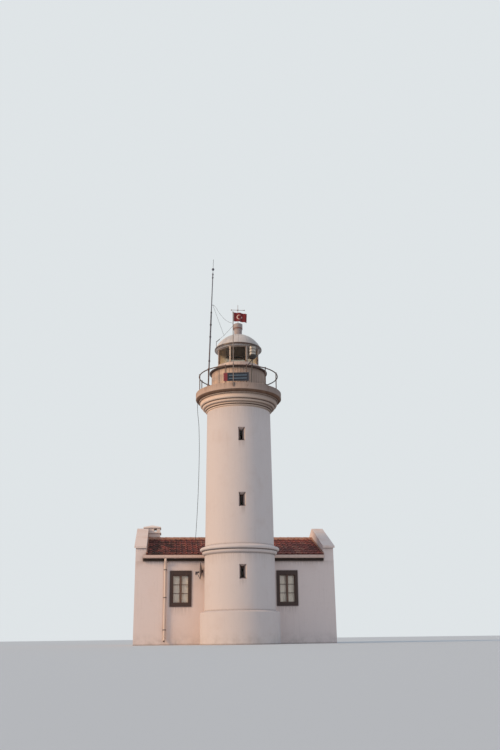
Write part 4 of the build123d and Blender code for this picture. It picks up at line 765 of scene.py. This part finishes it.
NODE_FINISH = (
    (TOWER_WASH, "lower_shaft_front_back lower_shaft_sides upper_shaft_front_back upper_shaft_sides"),
    (TOWER_WASH, "belt_course"),
    (HOUSE_WASH, "back_step back_wall front_wall_left front_wall_right gable_walls"),
    (COPING_WASH, "gable_copings"),
    (CHIMNEY_WASH, "chimney"),
    (GALLERY_WASH, "gallery_cornice"),
    (SLAB_WASH, "gallery_slab"),
    (CLAY, "roof_back roof_front_middle roof_front_sides"),
    (MORTAR, "ridge_cap"),
    (SASH_WOOD, "window_sashes"),
    (painted_wood("casing_brown", (62, 44, 38), (90, 66, 56), (22, 15, 13)), "window_and_door_casings"),
    (painted_wood("eave_brown", (42, 26, 16), (58, 40, 26), (18, 12, 9), gloss=0.65), "eave_boards"),
    (painted_wood("door_brown", (104, 72, 54), (126, 94, 74), (36, 24, 18), gloss=0.42), "back_door"),
    (GUTTER_PAINT, "gutters"),
    (painted_metal("pipe_cream", (222, 198, 182), (206, 180, 162), 0.08), "downpipe"),
    (painted_metal("rail_brown", (92, 72, 64), (116, 96, 86), 0.35, rust_size=0.07),
     "gallery_posts gallery_top_rail"),
    (painted_metal("pole_grey", (136, 120, 110), (112, 98, 90), 0.25, rust_size=0.06), "flagpole"),
    (DRUM_SHEET, "lantern_drum"),
    (sill_metal("sill_paint"), "lantern_sill"),
    (painted_metal("glazing_bar_paint", (176, 156, 142), (150, 128, 114), 0.30, rust_size=0.10),
     "lantern_frame"),
    (dome_sheet("dome_sheet"), "lantern_roof"),
    (VENT_SHEET, "roof_vent"),
    (mast_steel("mast_steel"), "mast"),
    (DISH_METAL, "satellite_dish"),
    (painted_metal("light_housing", (50, 45, 42), (38, 35, 34), 0.16, rust_size=0.05), "aux_light_housing"),
    (lens_glass("ribbed_lens"), "aux_light_lens"),
    (window_glass("house_glass", (253, 252, 250), 0.95), "window_glass"),
    (window_glass("lantern_glass", (200, 194, 184), 0.35, dust=0.38), "lantern_glass"),
    (painted_metal("curtain_rod", (150, 126, 100), (128, 106, 84), 0.05), "curtain_rods"),
    (LACE, "curtains"),
    (FLAG_CLOTH, "flag"),
    (sign_paint("sign_paint"), "sign_board"),
    (wire_jacket("aerial_wire", (70, 66, 66)), "aerial_wires"),
    (wire_jacket("gallery_lead_jacket", (46, 42, 42)), "gallery_lead"),
    (stone_floor("stone_floor"), "ground_floor"),
)


# Modelling


TO_X = (0, math.pi / 2, 0)      # turns an upright cylinder's top towards +X


def nothing_selected():
    bpy.ops.object.select_all(action="DESELECT")


def at_work_on(piece):
    """Selects this piece alone, for the tools that follow."""
    nothing_selected()
    piece.select_set(True)
    bpy.context.view_layer.objects.active = piece


def settled(piece):
    """Puts the piece's place, turn and size into its mesh."""
    at_work_on(piece)
    bpy.ops.object.transform_apply(location=True, rotation=True, scale=True)
    return piece


def added(tool, **settings):
    """The mesh that one of Blender's add tools makes, settled in its place."""
    nothing_selected()
    tool(**settings)
    return settled(bpy.context.object)


def cylinder(sides, radius, length, centre, turn=(0, 0, 0), ends="NGON"):
    """A cylinder along Z, turned about its centre; ends="NOTHING" leaves it open."""
    return added(bpy.ops.mesh.primitive_cylinder_add, vertices=sides, radius=radius, depth=length,
                 location=centre, rotation=turn, end_fill_type=ends)


def block(centre, size, turn=(0, 0, 0), edge=0.0):
    """A box with rounded edges at its size and place."""
    nothing_selected()
    bpy.ops.mesh.primitive_cube_add(size=1, location=centre, rotation=turn)
    piece = bpy.context.object
    piece.scale = size
    settled(piece)
    if edge:
        pick_all()
        bpy.ops.mesh.bevel(offset=edge, segments=2)
        done_editing()
    return piece


def pick_all():
    """Enters edit mode with the whole mesh selected."""
    bpy.ops.object.mode_set(mode="EDIT")
    bpy.ops.mesh.select_all(action="SELECT")


def pick_none(kind):
    """Sets what is picked, points or faces, and leaves none of it selected."""
    bpy.ops.object.mode_set(mode="EDIT")
    bpy.ops.mesh.select_mode(type=kind)
    bpy.ops.mesh.select_all(action="DESELECT")
    bpy.ops.object.mode_set(mode="OBJECT")


def pick_points(piece, wanted):
    """Enters edit mode with the points that wanted() names selected."""
    pick_none("VERT")
    for point in piece.data.vertices:
        point.select = wanted(point.co)
    bpy.ops.object.mode_set(mode="EDIT")


def pick_faces(piece, wanted):
    """Enters edit mode with the faces that wanted() names, by centre and normal, selected."""
    pick_none("FACE")
    for face in piece.data.polygons:
        face.select = wanted(face.center, face.normal)
    bpy.ops.object.mode_set(mode="EDIT")


def done_editing():
    bpy.ops.object.mode_set(mode="OBJECT")


def shaped(piece, kind, **settings):
    """Adds a modifier with its settings and applies it."""
    at_work_on(piece)
    modifier = piece.modifiers.new(kind.lower(), kind)
    for name, value in settings.items():
        setattr(modifier, name, value)
    bpy.ops.object.modifier_apply(modifier=modifier.name)
    return piece


def row_of(piece, count, step):
    """Repeats the piece count times, each a step further."""
    return shaped(piece, "ARRAY", count=count, use_relative_offset=False, use_constant_offset=True,
                  constant_offset_displace=step)


def copied(piece, move):
    """A copy with its own mesh, moved by a matrix."""
    twin = piece.copy()
    twin.data = piece.data.copy()
    twin.data.transform(move)
    bpy.context.collection.objects.link(twin)
    return twin


def joined(pieces):
    """Makes one mesh of several pieces."""
    nothing_selected()
    for piece in pieces:
        piece.select_set(True)
    bpy.context.view_layer.objects.active = pieces[0]
    bpy.ops.object.join()
    return bpy.context.object


def around_tower(piece, count, start=0):
    """Copies the piece, made at the front, to even steps around the tower. Start is in degrees."""
    angles = [math.radians(start + k * 360 / count) for k in range(count)]
    twins = [copied(piece, Matrix.Rotation(angle, 4, "Z")) for angle in angles]
    bpy.data.objects.remove(piece)
    return twins


def finished(pieces, name, material, smooth_to=0):
    """Joins pieces under a name, gives them their finish and lets them ride with the building.
    Faces that meet at less than smooth_to degrees are shaded smooth."""
    piece = joined(pieces) if isinstance(pieces, list) else pieces
    if smooth_to:
        at_work_on(piece)
        bpy.ops.object.shade_smooth_by_angle(angle=math.radians(smooth_to))
    piece.name = name
    piece.data.name = name
    piece.data.materials.clear()
    piece.data.materials.append(material)
    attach(piece, "root")
    return piece


def strap(points, width, thickness, x):
    """A flat strap across X that follows points (y, z)."""
    piece = added(bpy.ops.mesh.primitive_plane_add, size=1, location=(0, 0, 0))
    pick_points(piece, lambda p: p.y > 0)
    bpy.ops.mesh.delete(type="VERT")
    done_editing()
    for point in piece.data.vertices:
        point.co = Vector((x + math.copysign(width / 2, point.co.x), *points[0]))
    for before, after in zip(points, points[1:]):
        pick_points(piece, lambda p, y=before[0], z=before[1]: abs(p.y - y) < 1e-5 and abs(p.z - z) < 1e-5)
        bpy.ops.mesh.extrude_region_move(
            TRANSFORM_OT_translate={"value": (0, after[0] - before[0], after[1] - before[1])})
        done_editing()
    return shaped(piece, "SOLIDIFY", thickness=thickness, offset=0)


# Roof


def clay_tile():
    """One interlocking tile lying flat: foot at Y=0, left edge at X=0, roll and rib raised."""
    columns = len(TILE_SECTION) - 1
    tile = added(bpy.ops.mesh.primitive_grid_add, x_subdivisions=columns, y_subdivisions=1, size=1,
                 location=(0.5, 0.5, 0))
    tile.scale = (TILE_W, GAUGE + TILE_LAP, 1)
    settled(tile)
    for column, height in enumerate(TILE_SECTION):
        pick_points(tile, lambda p, x=column * TILE_W / columns: abs(p.x - x) < 1e-4)
        bpy.ops.transform.translate(value=(0, 0, height))
        done_editing()
    pick_points(tile, lambda p: p.y < 1e-4)
    bpy.ops.transform.translate(value=(0, 0, TILE_LIFT))
    done_editing()
    return shaped(tile, "SOLIDIFY", thickness=TILE_T, offset=1)


def tiled_slope(tile):
    """A whole slope of tiles, laid on the boarding of the front slope."""
    slope = copied(tile, Matrix.Identity(4))
    row_of(slope, COLUMNS, (TILE_W, 0, 0))
    row_of(slope, COURSES, (0, GAUGE, 0))
    pick_all()
    bpy.ops.transform.vertex_random(offset=0.003, seed=4)
    done_editing()
    slope.rotation_euler = (PITCH, 0, 0)
    foot_drop = EAVE_OVER * math.sin(PITCH)
    slope.location = (ROOF_LEFT, EAVE_Y - EAVE_OVER * math.cos(PITCH), EAVE_TOP - foot_drop + 0.002)
    return settled(slope)


def roof_tiles():
    tile = clay_tile()
    front = tiled_slope(tile)
    middle = Vector(((ROOF_LEFT + ROOF_RIGHT) / 2, RIDGE_Y, 0))
    half_turn = Matrix.Translation(middle) @ Matrix.Rotation(math.pi, 4, "Z") @ Matrix.Translation(-middle)
    back = copied(front, half_turn)
    bpy.data.objects.remove(tile)
    for slope, name in ((front, "front_roof_tiles"), (back, "back_roof_tiles")):
        finished(slope, name, CLAY, smooth_to=50)


def ridge_tiles():
    """Half-round tiles, each lapping the next, bedded in mortar."""
    tile = cylinder(24, RIDGE_TILE_R, RIDGE_TILE_L, (0, 0, 0), TO_X, ends="NOTHING")
    pick_points(tile, lambda p: p.z < -0.001)
    bpy.ops.mesh.delete(type="VERT")
    done_editing()
    pick_points(tile, lambda p: p.x > 0)
    bpy.ops.transform.resize(value=(1, 0.88, 0.88), center_override=(RIDGE_TILE_L / 2, 0, 0))
    done_editing()
    shaped(tile, "SOLIDIFY", thickness=0.014, offset=1)
    tile.scale = (1, 1, 0.78)
    tile.location = (ROOF_LEFT + RIDGE_TILE_L / 2, RIDGE_Y, RIDGE_Z + 0.022)
    settled(tile)
    run = ROOF_RIGHT - ROOF_LEFT - RIDGE_TILE_L
    count = int(run / RIDGE_TILE_STEP) + 1
    row_of(tile, count, (run / (count - 1), 0, 0))
    finished(tile, "ridge_tiles", RIDGE_CLAY, smooth_to=40)


def verge_mortar():
    """Mortar fillets between the tiles and the gable walls."""
    strips = []
    for x in (ROOF_LEFT + 0.02, ROOF_RIGHT - 0.02):
        for side in (-1, 1):
            centre = (x, RIDGE_Y + side * (RIDGE_Y - EAVE_Y) / 2, (EAVE_TOP + RIDGE_Z) / 2 + 0.045)
            strips.append(block(centre, (0.05, SLOPE, 0.055), turn=(-side * PITCH, 0, 0)))
    strip = joined(strips)
    pick_all()
    bpy.ops.mesh.subdivide(number_cuts=15)
    bpy.ops.transform.vertex_random(offset=0.008, seed=2)
    done_editing()
    finished(strip, "verge_mortar", MORTAR, smooth_to=70)


def tower_flashing():
    """Mortar fillet where the tiles meet the round tower."""
    ring = cylinder(128, SHAFT_FOOT_R + 0.012, 3, (0, 0, EAVE_TOP), ends="NOTHING")
    across = Vector((0, -math.sin(PITCH), math.cos(PITCH)))
    for offset, normal in ((0.02, across), (0.105, -across), (0, Vector((0, 1, 0)))):
        pick_all()
        point = Vector((0, EAVE_Y, EAVE_TOP)) + offset * across
        bpy.ops.mesh.bisect(plane_co=point, plane_no=normal, clear_inner=True)
        done_editing()
    shaped(ring, "SOLIDIFY", thickness=0.03, offset=1)
    finished(ring, "tower_flashing", MORTAR, smooth_to=60)


# Gallery and lantern


def drum_seams():
    """Folded seams of the drum's upright sheets."""
    foot = DECK_Z + 0.01
    height = 0.93
    seam = block((0, -DRUM_R - 0.003, foot + height / 2), (0.011, 0.010, height), edge=0.003)
    finished(around_tower(seam, DRUM_SEAMS), "drum_seams", DRUM_SHEET)


def foot_bolts():
    """Three bolts through each post's foot plate."""
    bolt = cylinder(6, 0.009, 0.012, (0, 0, DECK_Z + POST_PLATE_T + 0.006))
    pick_faces(bolt, lambda centre, normal: normal.z > 0.9)
    bpy.ops.mesh.bevel(offset=0.002, segments=1)
    done_editing()
    bolts = []
    for k in range(3):
        turn = math.radians(60 + 120 * k)
        place = (0.041 * math.sin(turn), -RAIL_R + 0.041 * math.cos(turn), 0)
        bolts.append(copied(bolt, Matrix.Translation(place)))
    bpy.data.objects.remove(bolt)
    bolts = around_tower(joined(bolts), POST_COUNT, POST_START)
    finished(bolts, "post_foot_bolts", FITTING_IRON)


def rod(start, end, radius):
    """A round rod between two points, its ends chamfered."""
    line = end - start
    piece = cylinder(16, radius, line.length, (start + end) / 2, line.to_track_quat("Z", "Y").to_euler())
    axis = line.normalized()
    pick_faces(piece, lambda centre, normal: abs(normal.dot(axis)) > 0.9)
    bpy.ops.mesh.bevel(offset=radius * 0.25, segments=1)
    done_editing()
    return piece


def light_stay():
    """Stay from the second light's pole back to the drum's coping, with a collar and a foot plate."""
    head = Vector((LIGHT_POLE_X, LIGHT_POLE_Y, LIGHT_STAY_HEAD_Z))
    foot = Vector(LIGHT_STAY_FOOT)
    bar = rod(head, foot + Vector((0, 0, 0.004)), 0.019)
    collar = rod(head - Vector((0, 0, 0.022)), head + Vector((0, 0, 0.022)), 0.031)
    plate = block(foot, (0.085, 0.060, 0.008), edge=0.002)
    finished([bar, collar, plate], "light_stay", FITTING_IRON, smooth_to=40)


def dish_feed():
    """Horn that faces the dish and the receiver's box behind it, with its socket."""
    horn = cylinder(32, 0.050, 0.05, (FEED_MOUTH_X + 0.025, FEED_Y, FEED_Z), TO_X)
    pick_points(horn, lambda p: p.x < FEED_MOUTH_X + 0.01)
    bpy.ops.transform.resize(value=(1, 0.70, 0.70), center_override=(FEED_MOUTH_X, FEED_Y, FEED_Z))
    done_editing()
    pick_faces(horn, lambda centre, normal: normal.x > 0.9)
    bpy.ops.mesh.inset(thickness=0.006)
    bpy.ops.mesh.extrude_region_move(TRANSFORM_OT_translate={"value": (-0.012, 0, 0)})
    done_editing()
    back = Vector((FEED_MOUTH_X - 0.088, FEED_Y, FEED_Z))
    box = block(back - Vector((0, 0, 0.038)), (0.070, 0.074, 0.128), edge=0.010)
    socket = rod(back - Vector((0, 0, 0.100)), back - Vector((0, 0, 0.128)), 0.011)
    finished([horn, box, socket], "dish_feed", DISH_METAL, smooth_to=40)


def vane_balls():
    """Balls at both ends of the vane's arms."""
    balls = []
    for side in (-1, 1):
        balls.append(added(bpy.ops.mesh.primitive_uv_sphere_add, segments=16, ring_count=10, radius=0.032,
                           location=(side * (VANE_ARM - 0.01), 0, VANE_ARM_Z), scale=(1.0, 0.9, 0.9)))
    finished(balls, "vane_balls", VENT_SHEET, smooth_to=40)


# Windows


def leaf_bars(x, face, side):
    """Two glazing bars across each leaf of a window."""
    pane_w = (INNER_W - 2 * LEAF_RAIL - MEETING_W) / 2
    pane_h = INNER_H - 2 * LEAF_RAIL
    sash_y = face - side * (SASH_IN + SASH_D / 2)
    foot = INNER_FOOT + LEAF_RAIL
    bars = []
    for across in (-1, 1):
        for level in (1, 2):
            centre = (x + across * (MEETING_W + pane_w) / 2, sash_y, foot + level * pane_h / 3)
            bars.append(block(centre, (pane_w + 0.004, SASH_D - 0.014, BAR_W), edge=0.005))
    return bars


def meeting_strip(x, face, side):
    """Rounded cover strip on the leaf that closes last."""
    centre = (x, face - side * (SASH_IN - 0.006), INNER_FOOT + INNER_H / 2)
    return block(centre, (0.034, 0.016, INNER_H - 0.02), edge=0.005)


def hinge(x, y, z):
    """Barrel hinge with a finial at each end."""
    barrel = cylinder(12, 0.0075, 0.075, (x, y, z))
    pick_faces(barrel, lambda centre, normal: abs(normal.z) > 0.9)
    bpy.ops.mesh.inset(thickness=0.003)
    bpy.ops.mesh.extrude_region_shrink_fatten(TRANSFORM_OT_shrink_fatten={"value": 0.008})
    done_editing()
    return barrel


def window_details():
    bars = []
    hinges = []
    for x, face, side in WINDOW_PLACES:
        bars += leaf_bars(x, face, side)
        bars.append(meeting_strip(x, face, side))
        for across in (-1, 1):
            for z in (WINDOW_FOOT + 0.36, WINDOW_TOP - 0.40):
                hinges.append(hinge(x + across * (INNER_W / 2 - 0.006), face - side * (SASH_IN - 0.005), z))
    finished(bars, "window_bars", SASH_WOOD)
    for z in (0.75, 1.45, 2.15):
        hinges.append(hinge(DOOR_X - LEAF_HALF + 0.006, BACK_FACE - 0.026, z))
    finished(hinges, "hinges", FITTING_IRON, smooth_to=40)


def door_lock_plate():
    centre = (DOOR_X + LEAF_HALF - 0.055, BACK_FACE - 0.028, DOOR_FOOT + 0.930)
    plate = block(centre, (0.045, 0.006, 0.22), edge=0.0025)
    finished(plate, "door_lock_plate", FITTING_IRON)


def folded_sheet(name, flat, columns, rows, heading, place, material):
    """A thin cloth of its flat size. heading(s, t) is the direction of its level threads in plan,
    s metres along them and t of the height up; place(x, y, s, z) puts a point in the frame."""
    cloth = added(bpy.ops.mesh.primitive_grid_add, x_subdivisions=columns, y_subdivisions=rows, size=1,
                  location=(0.5, 0.5, 0), calc_uvs=True)
    step = flat[0] / columns
    for row in range(rows + 1):
        t = row / rows
        line = [p for p in cloth.data.vertices if abs(p.co.y - t) < 0.25 / rows]
        line.sort(key=lambda p: p.co.x)
        x = y = 0.0
        for column, point in enumerate(line):
            if column:
                turn = heading((column - 0.5) * step, t)
                x += step * math.cos(turn)
                y += step * math.sin(turn)
            point.co = Vector(place(x, y, column * step, t * flat[1]))
    shaped(cloth, "SOLIDIFY", thickness=0.0016, offset=0)
    return finished(cloth, name, material, smooth_to=80)


def curtains():
    """Two gathered lace curtains behind each window."""
    hung_w = (WINDOW_W - CURTAIN_PART) / 2 - CURTAIN_SIDE
    height = ROD_Z - ROD_R - CURTAIN_FOOT
    swing = 0.85
    fold = 0.058
    folds = [step / 400 for step in range(400)]
    drawn_in = sum(math.cos(swing * math.sin(2 * math.pi * t)) for t in folds) / len(folds)
    flat = (hung_w / drawn_in, height)
    for number, (x, face, side) in enumerate(WINDOW_PLACES):
        back = SASH_IN + SASH_D + CURTAIN_BACK + CURTAIN_T / 2
        for across in (-1, 1):
            left = x + (CURTAIN_PART / 2 if across > 0 else -CURTAIN_PART / 2 - hung_w)
            phase = 1.7 * number + across

            def heading(s, t, phase=phase):
                drift = 0.5 * math.sin(2.1 * t + phase)
                return swing * math.sin(2 * math.pi * s / fold + drift + 0.4 * math.sin(9 * s + phase))

            def place(px, py, s, z, left=left, face=face, side=side, back=back):
                return (left + px, face - side * back + py, CURTAIN_FOOT + z)

            wall = "front" if side < 0 else "back"
            hand = "left" if across < 0 else "right"
            name = f"curtain_{wall}_{number % 2 + 1}_{hand}"
            piece = folded_sheet(name, flat, 96, 10, heading, place, LACE)
            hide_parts("curtains")


def flag():
    """The flag, blown out to the right in shallow waves and drooping at the fly."""
    low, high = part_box("flag")
    middle_y = (low.y + high.y) / 2

    def heading(s, t):
        share = s / FLAG_FLAT[0]
        wave = 0.55 * math.sin(2 * math.pi * s / 0.30 + 1.2 * (1 - t))
        return wave * min(1.0, 4 * share) + 0.35 * share * share

    def place(x, y, s, z):
        share = s / FLAG_FLAT[0]
        droop = 0.045 * share * share
        return (low.x + 0.002 + x, middle_y + y, low.z + z - droop + 0.012)

    piece = folded_sheet("waving_flag", FLAG_FLAT, 64, 40, heading, place, FLAG_CLOTH)
    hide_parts("flag")


# Gutters and downpipe

STRAP_OUTLINE = (       # out from the board, height
    (0.003, GUTTER_BACK + 0.05),
    (0.003, GUTTER_FOOT + GUTTER_BEVEL),
    (GUTTER_BEVEL, GUTTER_FOOT - 0.003),
    (GUTTER_W - GUTTER_BEVEL, GUTTER_FOOT - 0.003),
    (GUTTER_W + 0.003, GUTTER_FOOT + GUTTER_BEVEL),
    (GUTTER_W + 0.003, GUTTER_FRONT + 0.004),
    (GUTTER_W - 0.016, GUTTER_FRONT + 0.004),
)


def gutter_straps():
    """Straps that hold the gutters at even steps, and sleeves at their joints."""
    straps = []
    left = [-3.85 + 0.62 * k for k in range(5)]
    right = [1.35 + 0.62 * k for k in range(5)]
    behind = [-3.85 + 0.844 * k for k in range(10)]
    for face, side, places, sleeves in (
        (FRONT_FACE, -1, left + right, (-2.76, 2.6)),
        (BACK_FACE, 1, behind, (-1.9, 1.4)),
    ):
        board = face + side * BOARD_OUT
        outline = [(board + side * out, z) for out, z in STRAP_OUTLINE]
        straps += [strap(outline, 0.028, 0.004, x) for x in places]
        straps += [strap(outline[1:-1], 0.09, 0.006, x) for x in sleeves]
    finished(straps, "gutter_straps", GUTTER_PAINT)


def pipe_clips():
    """Split rings that hold the downpipe to the wall."""
    y = FRONT_FACE - PIPE_GAP - PIPE_R
    clips = []
    for z in (3.12, 1.95, 0.62):
        ring = cylinder(32, PIPE_R + 0.002, 0.034, (PIPE_X, y, z), ends="NOTHING")
        clips.append(shaped(ring, "SOLIDIFY", thickness=0.004, offset=1))
        clips.append(block((PIPE_X, y + PIPE_R + 0.018, z), (0.02, 0.036, 0.034), edge=0.003))
        for aside in (-PIPE_R - 0.012, PIPE_R + 0.012):
            clips.append(block((PIPE_X + aside, y, z), (0.022, 0.02, 0.034), edge=0.003))
    finished(clips, "pipe_clips", FITTING_IRON)


# Scene


def camera():
    """Camera at the photographer's place, pitched up and a little rolled."""
    bearing, aim, pitch, roll = map(math.radians, (CAMERA_BEARING, CAMERA_AIM, CAMERA_PITCH, CAMERA_ROLL))
    data = bpy.data.cameras.new("camera")
    data.lens = LENS
    data.sensor_width = 36
    data.clip_end = 2000
    seen = bpy.data.objects.new("camera", data)
    bpy.context.scene.collection.objects.link(seen)
    place = (-CAMERA_AWAY * math.sin(bearing), -CAMERA_AWAY * math.cos(bearing), CAMERA_HEIGHT)
    turn = Matrix.Rotation(-aim, 4, "Z") @ Matrix.Rotation(math.pi / 2 + pitch, 4, "X")
    seen.matrix_world = Matrix.Translation(place) @ turn @ Matrix.Rotation(-roll, 4, "Z")
    bpy.context.scene.camera = seen


def sun(name, towards, strength, colour, softness):
    """A broad soft light that shines from a direction."""
    data = bpy.data.lights.new(name, "SUN")
    data.energy = strength
    data.color = colour
    data.angle = math.radians(softness)
    lamp = bpy.data.objects.new(name, data)
    bpy.context.scene.collection.objects.link(lamp)
    lamp.rotation_euler = Vector(towards).to_track_quat("Z", "Y").to_euler()


def world():
    """Even light from all round, behind it a pale background."""
    made = bpy.data.worlds.new("studio")
    bpy.context.scene.world = made
    made.use_nodes = True
    w = Wiring(made.node_tree)
    direct = w.value("Is Camera Ray", "LightPath")
    mirrored = direct.beside("Is Glossy Ray").calc("MAXIMUM", direct.beside("Is Transmission Ray"))
    colour = w.mixed(direct.calc("MAXIMUM", mirrored), (0.44, 0.52, 0.62, 1), (0.74, 0.78, 0.80, 1))
    w.feed(made.node_tree.nodes["Background"].inputs, {"Color": colour, "Strength": 1.0})


def floor():
    nothing_selected()
    bpy.ops.mesh.primitive_circle_add(vertices=96, radius=400, fill_type="NGON", location=(0, 0, 0))
    ground = bpy.context.object
    ground.name = "floor"
    pale = Coats("pale_floor", (0.62, 0.64, 0.65, 1))
    ground.data.materials.append(pale.ready(0.9, Specular_IOR_Level=0.1))


def finish_nodes():
    """Gives every node of the frame its material."""
    for material, names in NODE_FINISH:
        for name in names.split():
            slots = frame["nodes"][name].data.materials
            for number in range(len(slots)):
                slots[number] = material
            if not slots:
                slots.append(material)


camera()
world()
sun("warm_key", (-0.92, -0.38, 0.42), 2.2, (1.0, 0.68, 0.40), 20)
sun("cool_fill", (0.75, -0.70, 0.55), 0.14, (0.80, 0.90, 1.0), 60)
floor()
finish_nodes()
roof_tiles()
ridge_tiles()
verge_mortar()
tower_flashing()
drum_seams()
foot_bolts()
light_stay()
dish_feed()
vane_balls()
window_details()
door_lock_plate()
curtains()
flag()
gutter_straps()
pipe_clips()

bpy.context.scene.view_settings.view_transform = "Standard"
